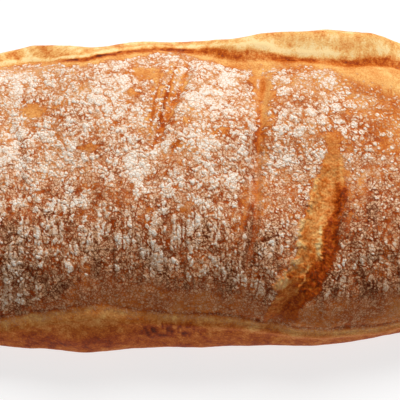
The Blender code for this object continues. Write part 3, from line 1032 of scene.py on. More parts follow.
@dataclass(frozen=True)
class TornSeam:
    """The long tear: its opening, the frayed lip to its left, its inner ridge and a blob."""

    opening: Streak = Streak(
        line=(
            (-0.068, 0.0362), (-0.060, 0.0400), (-0.056, 0.0430), (-0.050, 0.0457), (-0.042, 0.0492),
            (-0.031, 0.0508), (-0.023, 0.0534), (-0.016, 0.0551), (-0.006, 0.0566), (0.003, 0.0568),
        ),
        half_width=(
            (-0.068, 0.0066), (-0.060, 0.0074), (-0.056, 0.0080), (-0.050, 0.0085), (-0.042, 0.0081),
            (-0.031, 0.0080), (-0.023, 0.0076), (-0.016, 0.0072), (-0.006, 0.0044), (0.003, 0.0022),
        ),
        strength=((-0.074, 0.0), (-0.066, 1.0), (-0.004, 1.0), (0.005, 0.0)),
    )
    ridge: Streak = Streak(
        line=((-0.048, 0.0555), (-0.045, 0.0530), (-0.040, 0.0505), (-0.032, 0.0512), (-0.024, 0.0530)),
        half_width=((-0.048, 0.0009), (-0.024, 0.0009)),
        strength=((-0.050, 0.0), (-0.046, 1.0), (-0.034, 0.9), (-0.022, 0.0)),
    )
    low_ridge: Streak = Streak(
        line=((-0.058, 0.0420), (-0.052, 0.0455), (-0.044, 0.0470)),
        half_width=((-0.058, 0.0007), (-0.044, 0.0007)),
        strength=((-0.060, 0.0), (-0.055, 0.7), (-0.048, 0.7), (-0.042, 0.0)),
    )
    parting: Knots = (
        (-0.056, -0.04), (-0.050, 0.00), (-0.042, 0.32), (-0.031, 0.30),
        (-0.023, 0.42), (-0.016, 0.30), (-0.006, 0.60),
    )
    parting_blur: float = 0.22
    blob: Patch = Patch(0.0352, -0.0522, 0.0034, 0.0018, 1.0, 70.0)
    ragged: float = 0.0010
    ragged_size: float = 0.0048
    rim: tuple[float, float] = (-0.04, 0.14)
    lip_at: tuple[float, float] = (-0.86, 0.24)
    lip_starts: tuple[float, float] = (-0.062, -0.050)
    lip_ends: tuple[float, float] = (0.006, 0.018)
    fray_size: float = 0.0036
    fray_gaps: tuple[float, float] = (-0.30, 0.20)
    fibre_width: float = 1 / 4.2
    fibre_length: float = 0.0052
    mottle_size: float = 0.0026

    left_browning: tuple[float, float] = (0.46, 0.59)
    left_darkens: tuple[float, float] = (0.034, 0.052)
    # The right half's red-brown is partly the crust's own and partly painted shade on the tear's right wall.
    right_browning_and_shade: tuple[float, float] = (0.82, 0.76)
    right_pales: tuple[float, float] = (0.050, 0.066)
    right_from: tuple[float, float] = (0.010, 0.018)
    fibre_browning: float = 0.07
    mottle_browning: float = 0.13
    # The paleness of the lip, ridge and blob is partly pale crust and partly painted highlight on their
    # raised edges.
    lip_paleness_and_highlight: float = 0.38
    ridge_paleness_and_highlight: float = 0.42
    palest: float = 0.10
    lip_flour: float = 0.18
    lip_height: float = 0.0007
    ridge_height: float = 0.0004
    blob_height: float = 0.0010
    fibre_height: float = 0.000132
    mottle_height: float = 0.00022

    def browning_and_painted_light(self, at: Places, across: Array) -> Array:
        """The tear's halves: golden on the left, darker low down, and red-brown, part painted shade, on the
        right.

        Args:
            at: The places to read it at.
            across: The distance from the tear's middle line, in half widths.

        Returns:
            How dark each place is, before its fibres and mottling.
        """
        left, low_left = self.left_browning
        right, low_right = self.right_browning_and_shade
        left = left + (low_left - left) * rise_over(-at.skin, *self.left_darkens)
        right = right + (low_right - right) * rise_over(-at.skin, *self.right_pales)
        past = across - through_knots(at.skin, self.parting)
        share = rise_over(past, -self.parting_blur, self.parting_blur) * rise_over(-at.skin, *self.right_from)
        return left + (right - left) * share

    def apply(self, at: Places, skin: Surface) -> Surface:
        """Opens the flour along the tear and puts in what shows inside it.

        Noise makes its line ragged. Inside are fibres along it and mottling, its left rim is a
        frayed, pale lip, and a ridge and a blob stand up in it, all three paler partly by painted
        highlight.

        Args:
            at: The places to read it at.
            skin: The floured surface.

        Returns:
            The surface with the tear.
        """
        x = at.x + self.ragged * layered_noise(at.body, self.ragged_size, Seed.RAGGED_TEAR, 4, 0.7)
        across = self.opening.across(x, at.skin)
        reach = np.clip(through_knots(at.skin, self.opening.strength), 0.0, 1.0)
        inside = reach * rise_over(1.0 - np.abs(across), *self.rim)
        along = stretched(across, at.skin, self.fibre_width, self.fibre_length)
        fibres = layered_noise(along, 1.0, Seed.FIBRES)
        mottle = layered_noise(at.body, self.mottle_size, Seed.MOTTLE, 3, 0.8)
        frayed = rise_over(layered_noise(at.body, self.fray_size, Seed.FRAYED_LIP, 2), *self.fray_gaps)
        lip = reach * frayed * bump_at(across, *self.lip_at)
        lip *= rise_over(at.skin, *self.lip_starts) * rise_over(-at.skin, *self.lip_ends)
        ridge = frayed * np.clip(self.ridge.at(x, at.skin) + self.low_ridge.at(x, at.skin), 0.0, 1.0)
        blob = self.blob.at(x, at.skin)
        raised_rim = np.maximum(lip, blob)
        share = np.maximum(inside, raised_rim)

        brown = self.browning_and_painted_light(at, across) + self.fibre_browning * fibres + self.mottle_browning * mottle
        # Painted highlight, in part, on the raised lip, blob and ridge.
        brown -= self.lip_paleness_and_highlight * raised_rim + self.ridge_paleness_and_highlight * ridge
        browning_and_painted_light = skin.browning_and_painted_light + (np.maximum(brown, self.palest) - skin.browning_and_painted_light) * share
        rough = self.fibre_height * fibres + self.mottle_height * mottle
        raised = skin.raised * (1.0 - share) + share * rough
        raised += self.lip_height * lip + self.ridge_height * ridge + self.blob_height * blob
        flour = skin.flour * (1.0 - share) + self.lip_flour * raised_rim
        return Surface(raised, browning_and_painted_light, flour, skin.tone)


@dataclass
class BakingAndPaintedLight:
    """How dark each place is, from 0, pale straw, to 1, dark red-brown, with painted shade in the creases and
    folds and painted highlights on the crease lips.
    """

    body: LoafBody
    top: Knots = (
        (-0.075, 0.69), (-0.050, 0.71), (-0.030, 0.68), (-0.008, 0.52), (0.010, 0.45), (0.040, 0.36),
    )
    top_drift: float = 0.16
    top_size: float = 0.012
    near_band: Knots = ((0.001, 0.54), (0.006, 0.56), (0.011, 0.645), (0.030, 0.68))
    near_drift: float = 0.12
    near_size: float = 0.007
    near_meets: tuple[float, float] = (0.0, 0.0022)
    far_band: float = 0.27
    far_drift: float = 0.24
    far_size: float = 0.008
    far_meets: tuple[float, float] = (-0.0006, 0.0008)
    end_band: float = 0.46
    # Painted shade: a darker strip down into the far crease.
    far_crease_shade: Knots = (
        (-0.070, 0.12), (-0.054, 0.16), (-0.046, 0.54), (-0.026, 0.44),
        (0.030, 0.38), (0.060, 0.32), (0.078, 0.32),
    )
    far_crease_shade_starts: tuple[float, float] = (-0.0006, 0.0004)
    far_crease_shade_fade: tuple[float, float] = (0.0016, 0.0058)
    speckle: float = 0.35
    speckle_size: float = 0.0028
    # Painted shade: a darker broken line in the near crease.
    near_crease_shade: float = 0.20
    near_crease_shade_width: float = 0.0007
    near_crease_shade_least: float = 0.25
    near_crease_shade_size: float = 0.010
    near_crease_shade_gaps: tuple[float, float] = (-0.50, 0.10)
    # Painted highlights: paler lines along the crease lips.
    far_lip_highlight: float = 0.22
    far_lip_highlight_at: tuple[float, float] = (0.0016, 0.0008)
    near_lip_highlight: float = 0.10
    near_lip_highlight_at: tuple[float, float] = (0.0026, 0.0013)
    # Painted shade: a darker line down the middle of each fold.
    fold_shade: float = 0.20
    fold_shade_width: float = 0.45
    fold_full_at: float = 0.0010
    streaked: Patch = Patch(-0.0069, -0.0762, 0.0130, 0.0058, 0.36)
    streak_size: tuple[float, float] = (0.0016, 0.0060)
    streaks_over: tuple[float, float] = (-0.35, 0.30)
    spots: tuple[Patch, ...] = (
        Patch(0.0580, -0.0130, 0.0210, 0.0040, 0.22, 90.0),
        Patch(0.0712, -0.0164, 0.0090, 0.0030, 0.20, 90.0),
        Patch(0.0238, -0.0300, 0.0100, 0.0016, 0.30, 82.0),
        Patch(0.0566, -0.0310, 0.0180, 0.0040, 0.10, 76.0),
        Patch(-0.0519, -0.0146, 0.0040, 0.0040, 0.20),
        Patch(-0.0500, -0.0820, 0.0300, 0.0060, 0.10),
        # Painted shadow: a darker streak beside the flour smear.
        Patch(-0.0040, 0.0012, 0.0050, 0.0012, 0.26, 55.0),
        # Painted shade: a dark line in a groove between floured ridges.
        Patch(0.0520, 0.0160, 0.0080, 0.0009, 0.30, 95.0),
        # Painted shade: two darker lines along a fold's groove.
        Patch(-0.0122, 0.0232, 0.0158, 0.0007, 0.22, 83.3),
        Patch(-0.0070, 0.0300, 0.0200, 0.0009, 0.36, 79.4),
        Patch(0.0440, 0.0400, 0.0200, 0.0080, -0.08),
        Patch(0.0820, 0.0440, 0.0240, 0.0090, -0.08),
    )

    def crease_shade(self, at: Places) -> Array:
        """Painted shade in the creases: a speckled strip on the far side, a broken line on the near.

        Args:
            at: The places to read it at.

        Returns:
            What the painted shade adds to the browning.
        """
        above = -at.edge
        strip = rise_over(above, *self.far_crease_shade_starts) * (1.0 - rise_over(above, *self.far_crease_shade_fade))
        speckle = layered_noise(at.body, self.speckle_size, Seed.SPECKLE, 3, 0.8)
        far = strip * through_knots(at.x, self.far_crease_shade) * (1.0 + self.speckle * speckle)
        breaks = soft_noise(at.body, self.near_crease_shade_size, Seed.CREASE_BREAKS)
        whole = rise_over(breaks, *self.near_crease_shade_gaps)
        near = self.near_crease_shade * (self.near_crease_shade_least + (1.0 - self.near_crease_shade_least) * whole)
        near *= bump_at(at.edge, 0.0, self.near_crease_shade_width)
        return np.where(at.far, far, near)

    def browning_and_painted_light(self, at: Places) -> Array:
        """Knots down the top and the near band, one tone on the far band, and drifts on each.

        Spots, some of them painted shade along grooves, painted shade along the folds and in the
        creases, and streaks low on the near band make it darker, and painted highlights on the
        bands' lips make it paler.

        Args:
            at: The places to read it at.

        Returns:
            How dark each of them is.
        """
        top_drift = layered_noise(at.grain, self.top_size, Seed.TOP)
        far_drift = layered_noise(at.body, self.far_size, Seed.FAR_BAND, 5, 0.75)
        near_drift = layered_noise(at.body, self.near_size, Seed.NEAR_BAND, 5, 0.8)
        top = through_knots(at.skin, self.top) + self.top_drift * top_drift
        far_band = self.far_band + self.far_drift * far_drift
        near_band = through_knots(at.edge, self.near_band) + self.near_drift * near_drift
        band = self.body.by_side(at.x, at.far, far_band, near_band, self.end_band)
        on_band = np.where(at.far, rise_over(at.edge, *self.far_meets), rise_over(at.edge, *self.near_meets))
        # Painted shade in the creases is added here.
        tone = top + (band - top) * on_band + self.crease_shade(at)
        for spot in self.spots:
            tone += spot.at(at.x, at.skin)
        for fold in (LONG_FOLD, LEFT_FOLD):
            there = rise_over(through_knots(at.skin, fold.strength), 0.0, self.fold_full_at)
            # Painted shade along the fold's middle.
            tone += self.fold_shade * there * bump_at(fold.across(at.x, at.skin), 0.0, self.fold_shade_width)
        streaks = soft_noise(stretched(at.x, at.skin, *self.streak_size), 1.0, Seed.BAND_STREAKS)
        tone += self.streaked.at(at.x, at.skin) * rise_over(streaks, *self.streaks_over)
        # Painted highlights on the crease lips.
        far_lip_highlight = self.far_lip_highlight * bump_at(at.edge, *self.far_lip_highlight_at)
        return tone - np.where(at.far, far_lip_highlight, self.near_lip_highlight * bump_at(at.edge, *self.near_lip_highlight_at))


def to_light(colour: Colour) -> tuple[float, float, float, float]:
    """A colour of 0 to 255 values as the light it gives: above a toe, a power of 2.4."""
    shares = [value / 255 for value in colour]
    light = [s / 12.92 if s <= 0.04045 else ((s + 0.055) / 1.055) ** 2.4 for s in shares]
    return (*light, 1.0)


class Nodes:
    """A material's nodes, made and joined with short calls."""

    def __init__(self, name: str) -> None:
        """Makes the material.

        Args:
            name: The material's name.
        """
        self.material = bpy.data.materials.new(name)
        self.material.use_nodes = True
        self.tree = self.material.node_tree
        self.shader = self.tree.nodes["Principled BSDF"]
        self.place = self.tree.nodes.new("ShaderNodeTexCoord").outputs["Object"]

    def add(self, kind: str, inputs: dict[str | int, object], **settings: object) -> bpy.types.Node:
        """Adds a node.

        Args:
            kind: The node's type, without ShaderNode in front.
            inputs: Each input's value, or the socket that it is joined to.
            settings: The node's own settings.

        Returns:
            The node.
        """
        node = self.tree.nodes.new("ShaderNode" + kind)
        for name, value in settings.items():
            setattr(node, name, value)
        for key, value in inputs.items():
            if isinstance(value, bpy.types.NodeSocket):
                self.tree.links.new(value, node.inputs[key])
            else:
                node.inputs[key].default_value = value
        return node

    def layer(self, name: str) -> bpy.types.NodeSocket:
        """A number that the mesh holds at its points."""
        return self.add("Attribute", {}, attribute_name=name).outputs["Fac"]

    def noise(self, size: float, detail: float = 3.0, rough: float = 0.6) -> bpy.types.NodeSocket:
        """Noise from 0 to 1 of about this size in metres."""
        inputs = {"Vector": self.place, "Scale": 1.0 / size, "Detail": detail, "Roughness": rough}
        return self.add("TexNoise", inputs).outputs["Fac"]

    def bent(self, size: float, amount: float) -> bpy.types.NodeSocket:
        """Object coordinates pushed aside by noise.

        Args:
            size: The size of the noise's hills in metres.
            amount: How far it pushes at most, in metres.

        Returns:
            The socket of the coordinates.
        """
        noise = self.add("TexNoise", {"Vector": self.place, "Scale": 1.0 / size, "Detail": 1.0})
        inputs = {0: noise.outputs["Color"], 1: (2 * amount, 2 * amount, 2 * amount), 2: self.place}
        return self.add("VectorMath", inputs, operation="MULTIPLY_ADD").outputs[0]

    def cell_edges(self, size: float, place: bpy.types.NodeSocket) -> bpy.types.NodeSocket:
        """The distance to the edges of a cell pattern, in cells of this size."""
        inputs = {"Vector": place, "Scale": 1.0 / size, "Randomness": 1.0}
        return self.add("TexVoronoi", inputs, feature="DISTANCE_TO_EDGE").outputs["Distance"]

    def sum_of(self, *terms: tuple[bpy.types.NodeSocket, float]) -> bpy.types.NodeSocket:
        """The sum of sockets, each times its own factor.

        Args:
            terms: Pairs of a socket and its factor.

        Returns:
            The sum's socket.
        """
        total: object = 0.0
        for socket, factor in terms:
            total = self.add("Math", {0: socket, 1: factor, 2: total}, operation="MULTIPLY_ADD").outputs[0]
        return total

    def times(self, one: object, other: object) -> bpy.types.NodeSocket:
        """The product of two sockets or numbers."""
        return self.add("Math", {0: one, 1: other}, operation="MULTIPLY").outputs[0]

    def less(self, value: object, amount: float) -> bpy.types.NodeSocket:
        """A value less an amount, kept from 0 to 1."""
        return self.add("Math", {0: value, 1: amount}, operation="SUBTRACT", use_clamp=True).outputs[0]

    def spread(
        self, value: object, low: float, high: float, to: tuple[float, float] = (0.0, 1.0)
    ) -> bpy.types.NodeSocket:
        """A value moved from one range to another, smoothly, and kept inside it."""
        inputs = {"Value": value, "From Min": low, "From Max": high, "To Min": to[0], "To Max": to[1]}
        return self.add("MapRange", inputs, interpolation_type="SMOOTHSTEP").outputs["Result"]

    def ramp(self, value: object, stops: tuple[tuple[float, Colour], ...]) -> bpy.types.NodeSocket:
        """Colours along a scale from 0 to 1.

        Args:
            value: The place on the scale.
            stops: The (place, colour) pairs, in order of place.

        Returns:
            The colour's socket.
        """
        node = self.add("ValToRGB", {"Fac": value})
        elements = node.color_ramp.elements
        while len(elements) < len(stops):
            elements.new(0.5)
        for element, (position, colour) in zip(elements, stops):
            element.position = position
            element.color = to_light(colour)
        return node.outputs["Color"]

    def mix(self, share: object, one: object, other: object) -> bpy.types.NodeSocket:
        """One colour passing into another.

        Args:
            share: The share of the other colour.
            one: The first colour, as a socket or four numbers.
            other: The other colour.

        Returns:
            The colour's socket.
        """
        node = self.add("Mix", {0: share}, data_type="RGBA")
        for socket, value in ((node.inputs[6], one), (node.inputs[7], other)):
            if isinstance(value, bpy.types.NodeSocket):
                self.tree.links.new(value, socket)
            else:
                socket.default_value = value
        return node.outputs[2]

    def finish(self, colour: object, roughness: object, height: object, depth: float) -> bpy.types.Material:
        """Joins the colour, roughness and bump to the shader.

        Args:
            colour: The base colour's socket.
            roughness: The roughness, as a socket or a number.
            height: The socket of the bump's height.
            depth: The bump's depth in metres.

        Returns:
            The material.
        """
        bump = self.add("Bump", {"Height": height, "Distance": depth, "Strength": 1.0})
        for name, value in (("Base Color", colour), ("Roughness", roughness), ("Normal", bump.outputs[0])):
            socket = self.shader.inputs[name]
            if isinstance(value, bpy.types.NodeSocket):
                self.tree.links.new(value, socket)
            else:
                socket.default_value = value
        return self.material


@dataclass(frozen=True)
class CrustFinish:
    """Baked crust, from pale straw to red-brown, and the flour that has baked onto it."""

    stops: tuple[tuple[float, Colour], ...] = (
        (0.00, (254, 222, 160)),
        (0.22, (245, 190, 114)),
        (0.42, (228, 150, 78)),
        (0.60, (206, 108, 34)),
        (0.80, (166, 64, 10)),
        (1.00, (96, 32, 6)),
    )
    flour_stops: tuple[tuple[float, Colour], ...] = (
        (0.00, (196, 124, 70)),
        (0.25, (224, 168, 124)),
        (0.55, (243, 204, 171)),
        (1.00, (255, 243, 228)),
    )
    coarse: float = 0.0060
    middle: float = 0.0020
    fine: float = 0.0007
    brown_noise: tuple[float, float, float] = (0.16, 0.30, 0.66)
    grain_size: float = 0.0013
    grain_gap: float = 0.42
    grain_rim: float = 0.16
    grain_bend: tuple[float, float] = (0.0016, 0.0003)
    flour_noise: tuple[float, float] = (0.14, 0.50)
    flour_least: float = 0.31
    covers_over: tuple[float, float] = (0.03, 0.34)
    strength: float = 0.66
    strength_noise: float = 0.3
    strength_size: float = 0.0012
    roughness: tuple[float, float] = (0.56, 0.9)
    specular: float = 0.05
    bump_shares: tuple[float, float, float] = (0.3, 0.5, 0.4)
    bump_depth: float = 0.0003

    def material(self) -> bpy.types.Material:
        """Browning, with its painted shade and highlights, flour and tone are read from the mesh, and noise
        breaks them up.

        Noise of three sizes, less half their sum, is added to the browning. Cells with gaps
        between them make the flour grainy.

        Returns:
            The material.
        """
        n = Nodes("floured_crust")
        coarse, middle, fine = n.noise(self.coarse), n.noise(self.middle), n.noise(self.fine, 2.0)
        shares = self.brown_noise
        brown = n.sum_of((n.layer("browning_and_painted_light"), 1.0), *zip((coarse, middle, fine), shares))
        brown = n.less(brown, sum(shares) / 2)
        grains = n.spread(n.cell_edges(self.grain_size, n.bent(*self.grain_bend)), 0.0, self.grain_rim)
        laid = n.times(n.layer("flour"), n.spread(grains, 0.0, 1.0, (self.grain_gap, 1.0)))
        flour = n.sum_of((laid, 1.0), *zip((middle, fine), self.flour_noise))
        flour = n.less(flour, self.flour_least)
        strength = n.sum_of((n.layer("tone"), 1.0), (n.noise(self.strength_size, 2.0), self.strength_noise))
        strength = n.add("Math", {0: strength, 1: self.strength}, operation="ADD").outputs[0]
        powder = n.ramp(n.times(flour, strength), self.flour_stops)
        cover = n.spread(flour, *self.covers_over)
        colour = n.mix(cover, n.ramp(brown, self.stops), powder)
        n.shader.inputs["Specular IOR Level"].default_value = self.specular
        height = n.sum_of(*zip((middle, fine, n.times(grains, cover)), self.bump_shares))
        return n.finish(colour, n.spread(cover, 0.0, 1.0, self.roughness), height, self.bump_depth)


@dataclass(frozen=True)
class FloorFinish:
    """A plain pale floor with a trace of unevenness."""

    pale: Colour = (152, 152, 152)
    shade: Colour = (146, 146, 146)
    drift_size: float = 0.3
    glow: float = 0.75
    roughness: float = 0.8
    bump_depth: float = 0.0001

    def material(self) -> bpy.types.Material:
        """Two pale greys that glow, mixed by slow noise.

        Returns:
            The material.
        """
        n = Nodes("pale_floor")
        drift = n.noise(self.drift_size)
        colour = n.mix(drift, to_light(self.pale), to_light(self.shade))
        n.shader.inputs["Emission Color"].default_value = (1.0, 1.0, 1.0, 1.0)
        n.shader.inputs["Emission Strength"].default_value = self.glow
        return n.finish(colour, self.roughness, drift, self.bump_depth)


def make_piece(
    name: str,
    points: Array,
    faces: list[Array],
    corner_uv: list[Array],
    layers: dict[str, Array],
    material: bpy.types.Material,
) -> bpy.types.Object:
    """Puts points and faces into a smooth mesh object at the origin.

    Args:
        name: The piece's name.
        points: One row for each point.
        faces: Arrays of faces, each with one row of point numbers for a face.
        corner_uv: For each array of faces, the place on the map of every corner.
        layers: Numbers held at the points, by name.
        material: The piece's finish.

    Returns:
        The object, in the scene, riding on the frame's one body.
    """
    mesh = bpy.data.meshes.new(name)
    corners = np.concatenate([f.ravel() for f in faces])
    sides = np.concatenate([np.full(len(f), f.shape[1]) for f in faces])
    mesh.vertices.add(len(points))
    mesh.vertices.foreach_set("co", points.astype(np.float32).ravel())
    mesh.loops.add(len(corners))
    mesh.loops.foreach_set("vertex_index", corners.astype(np.int32))
    mesh.polygons.add(len(sides))
    mesh.polygons.foreach_set("loop_start", (np.cumsum(sides) - sides).astype(np.int32))
    mesh.update(calc_edges=True)
    mesh.validate()
    uv = mesh.uv_layers.new(name=BAKE_MAP)
    uv_places = np.concatenate([places.reshape(-1, 2) for places in corner_uv])
    uv.data.foreach_set("uv", uv_places.astype(np.float32).ravel())
    for layer, values in layers.items():
        mesh.attributes.new(layer, "FLOAT", "POINT").data.foreach_set("value", values.astype(np.float32))
    mesh.shade_smooth()
    mesh.materials.append(material)
    piece = bpy.data.objects.new(name, mesh)
    bpy.context.scene.collection.objects.link(piece)
    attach(piece, "root")
    LOG.info("%s: %d points, %d faces", name, len(points), len(sides))
    return piece


def grid_quads(columns: int, rows: int, around: bool = False) -> Array:
    """Quads over a grid whose columns run to -X and rows to +Y, so that they face up.

    Args:
        columns: The number of columns of points.
        rows: The number of rows of points.
        around: Whether the last row joins the first.

    Returns:
        Four point numbers for each quad; a point's number is column times rows plus row.
    """
    last_row = rows if around else rows - 1
    column, row = np.meshgrid(np.arange(columns - 1), np.arange(last_row), indexing="ij")
    column, row = column.ravel(), row.ravel()
    onward = (row + 1) % rows
    here, ahead = column * rows, (column + 1) * rows
    return np.stack([here + row, here + onward, ahead + onward, ahead + row], axis=1)


@dataclass
class CrustShell:
    """The whole crust as one closed skin, with its poles at the loaf's ends."""

    crust: Crust
    baking_and_painted_light: BakingAndPaintedLight
    columns: int = 330
    rows: int = 298
    crease_row: float = 0.0655
    crease_reach: float = 0.0075
    crease_density: float = 2.4
    foot_band: tuple[float, float] = (0.086, 0.106)
    base_density: float = 0.25
    most_slide: float = 0.036
    end_cross_share: float = 0.4
    sunk_over: tuple[float, float] = (0.0008, 0.0028)
    sunk_by: float = 0.00045

    def along_at(self, share: Array) -> Array:
        """Places along the loaf, evenly spread over the outline of its ends and middle.

        Args:
            share: From 0 at the +X end to 1 at the -X end.

        Returns:
            From 1 at the +X end to -1 at the -X end.
        """
        body = self.crust.body
        along = np.cos(np.linspace(0.0, math.pi / 2, body.table_steps)) ** (2 / body.plan_fullness)
        across = self.end_cross_share * body.half_width * body.rounded(along, body.plan_fullness)
        steps = np.hypot(np.diff(along) * body.length / 2, np.diff(across))
        reached = np.concatenate(([0.0], np.cumsum(steps)))
        half = np.interp(0.5 - np.abs(share - 0.5), reached / reached[-1] / 2, along)
        return np.where(share < 0.5, half, -half)

    def turn_at(self, share: Array, along: Array) -> Array:
        """Turns round the loaf, closest at the crease, with one row that follows it.

        Args:
            share: From -1 to 1 round the loaf, with 0 on top and both ends underneath.
            along: The place along the loaf.

        Returns:
            The turn for each pair.
        """
        body = self.crust.body
        turns, skin, section = body.section()
        density = np.ones(body.table_steps)
        density[np.abs(skin - self.crease_row) < self.crease_reach] = self.crease_density
        density[skin > self.foot_band[1]] = self.base_density
        steps = np.linalg.norm(np.diff(section, axis=0), axis=1) * (density[1:] + density[:-1]) / 2
        reached = np.concatenate(([0.0], np.cumsum(steps)))
        place = np.interp(np.abs(share), reached / reached[-1], skin)
        slide = np.interp(body.crease_turn(along, share > 0), turns, skin) - self.crease_row
        slide = np.maximum(slide, -self.most_slide)
        above = rise_over(place, 0.0, self.crease_row)
        below = 1.0 - rise_over(place, self.crease_row, self.foot_band[1])
        place += slide * np.where(place < self.crease_row, above, below)
        return np.sign(share) * np.interp(place, skin, turns)

    def build(self, material: bpy.types.Material) -> bpy.types.Object:
        """Makes the shell: a closed grid round the loaf, with a fan of triangles at each end.

        It is sunk a little under the top's own skin.

        Args:
            material: The crust's finish.

        Returns:
            The piece, which stands for the solid.
        """
        column_share = np.arange(1, self.columns + 1) / (self.columns + 1)
        row_share = (np.arange(self.rows) + 0.5) / self.rows * 2.0 - 1.0
        along, share = np.meshgrid(self.along_at(column_share), row_share, indexing="ij")
        along, share = along.ravel(), share.ravel()
        turn = self.turn_at(share, along)
        along = np.concatenate([along, [1.0, -1.0]])
        turn = np.concatenate([turn, [math.pi / 2, math.pi / 2]])
        at = self.crust.body.places(along, turn)
        self.crust.foot = self.foot_of(at)
        points = self.crust.points(at, -self.sunk_by * (1.0 - rise_over(at.below, *self.sunk_over)))
        quads = grid_quads(self.columns, self.rows, around=True)
        row = np.arange(self.rows)
        onward = (row + 1) % self.rows
        last = (self.columns - 1) * self.rows
        first_pole, last_pole = np.full(self.rows, len(points) - 2), np.full(self.rows, len(points) - 1)
        first_fan = np.stack([first_pole, onward, row], axis=1)
        last_fan = np.stack([last_pole, last + row, last + onward], axis=1)
        fans = np.concatenate([first_fan, last_fan])
        bare = np.zeros(len(points))
        layers = {"browning_and_painted_light": self.baking_and_painted_light.browning_and_painted_light(at), "flour": bare, "tone": bare}
        uv = [self.quad_uv(), self.fan_uv()]
        piece = make_piece("crust", points, [quads, fans], uv, layers, material)
        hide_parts("ciabatta_loaf")
        return piece

    def foot_of(self, at: Places) -> Array:
        """The shift that puts the main form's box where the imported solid's box is.

        Args:
            at: The shell's places.

        Returns:
            What is taken from every point, with no change in height.
        """
        relief = self.crust.body.main_relief(at) * rise_over(at.body[:, 2], 0.0, self.crust.body.base_blend)
        main = at.body + at.normals * relief[:, None]
        low, high = (np.array(corner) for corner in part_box("ciabatta_loaf"))
        foot = (main.min(axis=0) + main.max(axis=0)) / 2 - (low + high) / 2
        foot[2] = 0.0
        return foot

    def quad_uv(self) -> Array:
        """The map's places of each quad's corners: columns across it and rows up it.

        Returns:
            Four places for each quad.
        """
        column, row = np.meshgrid(np.arange(self.columns - 1), np.arange(self.rows), indexing="ij")
        across = (column.ravel()[:, None] + np.array([1, 1, 2, 2])) / (self.columns + 1)
        up = (row.ravel()[:, None] + np.array([0, 1, 1, 0])) / self.rows
        return np.stack([across, up], axis=2)

    def fan_uv(self) -> Array:
        """The map's places of each fan's corners, in a strip at either edge of it.

        Returns:
            Three places for each triangle, the first fan's before the last one's.
        """
        row = np.arange(self.rows)[:, None]
        edge = 1.0 / (self.columns + 1)
        across = np.repeat([[0.0, edge, edge], [1.0, 1.0 - edge, 1.0 - edge]], self.rows, axis=0)
        up = np.concatenate([row + [0.5, 1.0, 0.0], row + [0.5, 0.0, 1.0]]) / self.rows
        return np.stack([across, up], axis=2)


@dataclass
class TopSkin:
    """The fine skin of the top, from crease to crease, with its flour, cracks and tear."""

    crust: Crust
    baking_and_painted_light: BakingAndPaintedLight
    flour: FlourMap
    tear: TornSeam
    columns: int = 960
    rows: int = 560
    near_skin: float = -0.092
    far_skin: float = 0.073
    end_share: float = 0.006
    dips_over: tuple[float, float] = (0.0034, 0.0050)
    lift: float = 0.00006
    tuck: float = 0.00022
    share_lines: tuple[float, ...] = (-0.085, -0.030, 0.026, 0.084)
    names: tuple[str, ...] = ("top_left_end", "top_left", "top_middle", "top_tear_side", "top_right_end")

    def build(self, shell: CrustShell, material: bpy.types.Material) -> list[bpy.types.Object]:
        """Makes the skin, and shares its plates out over pieces of a fair size.

        Args:
            shell: The crust's shell, for the spread of places along the loaf.
            material: The crust's finish.

        Returns:
            The pieces.
        """
        columns = shell.along_at(np.linspace(self.end_share, 1.0 - self.end_share, self.columns))
        skins = np.linspace(self.near_skin, self.far_skin, self.rows)
        along, skin = np.meshgrid(columns, skins, indexing="ij")
        at = self.crust.body.places(along.ravel(), self.crust.body.turn_of(skin.ravel()))
        floured, plate_x = self.flour.lay(at, self.crust.ribs(at), self.baking_and_painted_light.browning_and_painted_light(at))
        surface = self.tear.apply(at, floured)
        cover = 1.0 - rise_over(at.below, *self.dips_over)
        points = self.crust.points(at, cover * (self.lift + surface.raised) - (1.0 - cover) * self.tuck)
        layers = {"browning_and_painted_light": surface.browning_and_painted_light, "flour": surface.flour * cover, "tone": surface.tone}
        quads = grid_quads(self.columns, self.rows)
        quads = quads[(cover[quads] > 0).any(axis=1)]
        owner = np.searchsorted(self.share_lines, plate_x)[quads[:, 0]]
        pieces = []
        for number, name in enumerate(self.names):
            mine = quads[owner == number]
            used, new = np.unique(mine, return_inverse=True)
            faces = new.reshape(mine.shape)
            across, up = mine // self.rows / (self.columns - 1), mine % self.rows / (self.rows - 1)
            uv = self.spread_uv(np.stack([across, up], axis=2))
            held = {layer: values[used] for layer, values in layers.items()}
            pieces.append(make_piece(name, points[used], [faces], [uv], held, material))
        return pieces

    @staticmethod
    def spread_uv(uv: Array) -> Array:
        """The map's places moved and scaled so that the piece fills its map."""
        low, high = uv.reshape(-1, 2).min(axis=0), uv.reshape(-1, 2).max(axis=0)
        return (uv - low) / (high - low)


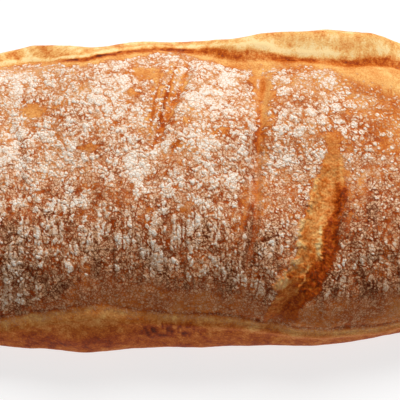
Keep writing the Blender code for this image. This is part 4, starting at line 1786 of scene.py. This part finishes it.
@dataclass(frozen=True)
class Studio:
    """A pale floor, soft light from above and behind, and the camera."""

    look_at: tuple[float, float, float] = (0.006, -0.0093, 0.030)
    distance: float = 0.640
    elevation: float = 65.0
    lens: float = 144.0
    sensor: float = 36.0
    floor_half: float = 3.0
    key_direction: tuple[float, float, float] = (0.20, 0.62, 1.0)
    key_distance: float = 1.5
    key_size: float = 0.8
    key_power: float = 24.0
    sky: float = 0.08

    def build(self) -> None:
        """Makes the floor, the light, the sky and the camera."""
        self.floor()
        self.light("key", self.key_direction, self.key_size, self.key_power)
        world = bpy.data.worlds.new("studio")
        world.use_nodes = True
        world.node_tree.nodes["Background"].inputs["Color"].default_value = (1.0, 1.0, 1.0, 1.0)
        world.node_tree.nodes["Background"].inputs["Strength"].default_value = self.sky
        bpy.context.scene.world = world
        bpy.context.scene.view_settings.view_transform = "Standard"
        self.camera()

    def floor(self) -> None:
        """A flat sheet at the height of the loaf's base."""
        half = self.floor_half
        corners = np.array([[-half, -half, 0.0], [half, -half, 0.0], [half, half, 0.0], [-half, half, 0.0]])
        mesh = bpy.data.meshes.new("floor")
        mesh.from_pydata(corners.tolist(), [], [(0, 1, 2, 3)])
        mesh.materials.append(FloorFinish().material())
        floor = bpy.data.objects.new("floor", mesh)
        bpy.context.scene.collection.objects.link(floor)

    def light(self, name: str, direction: tuple[float, float, float], size: float, power: float) -> None:
        """A square soft light that faces the loaf.

        Args:
            name: The light's name.
            direction: From the loaf to the light.
            size: The light's side.
            power: Its power in watts.
        """
        lamp = bpy.data.lights.new(name, "AREA")
        lamp.shape = "SQUARE"
        lamp.size = size
        lamp.energy = power
        holder = bpy.data.objects.new(name, lamp)
        towards = np.array(direction) / np.linalg.norm(direction)
        holder.location = towards * self.key_distance
        across = math.atan2(math.hypot(towards[0], towards[1]), towards[2])
        holder.rotation_euler = (across, 0.0, math.atan2(towards[0], -towards[1]))
        bpy.context.scene.collection.objects.link(holder)

    def camera(self) -> None:
        """The camera, level from side to side and tilted down at the loaf."""
        data = bpy.data.cameras.new("camera")
        data.lens = self.lens
        data.sensor_width = self.sensor
        data.clip_end = 20.0
        camera = bpy.data.objects.new("camera", data)
        tilt = math.radians(self.elevation)
        x, y, z = self.look_at
        camera.location = (x, y - self.distance * math.cos(tilt), z + self.distance * math.sin(tilt))
        camera.rotation_euler = (math.pi / 2 - tilt, 0.0, 0.0)
        bpy.context.scene.collection.objects.link(camera)
        bpy.context.scene.camera = camera


def main() -> None:
    """Builds the loaf's pieces in order, then the studio."""
    logging.basicConfig(level=logging.INFO, format="%(name)s: %(message)s", stream=sys.stdout)
    crust = Crust()
    baking_and_painted_light = BakingAndPaintedLight(crust.body)
    material = CrustFinish().material()
    shell = CrustShell(crust, baking_and_painted_light)
    shell.build(material)
    TopSkin(crust, baking_and_painted_light, FlourMap(), TornSeam()).build(shell, material)
    Studio().build()
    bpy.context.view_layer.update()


if __name__ == "__main__":
    main()
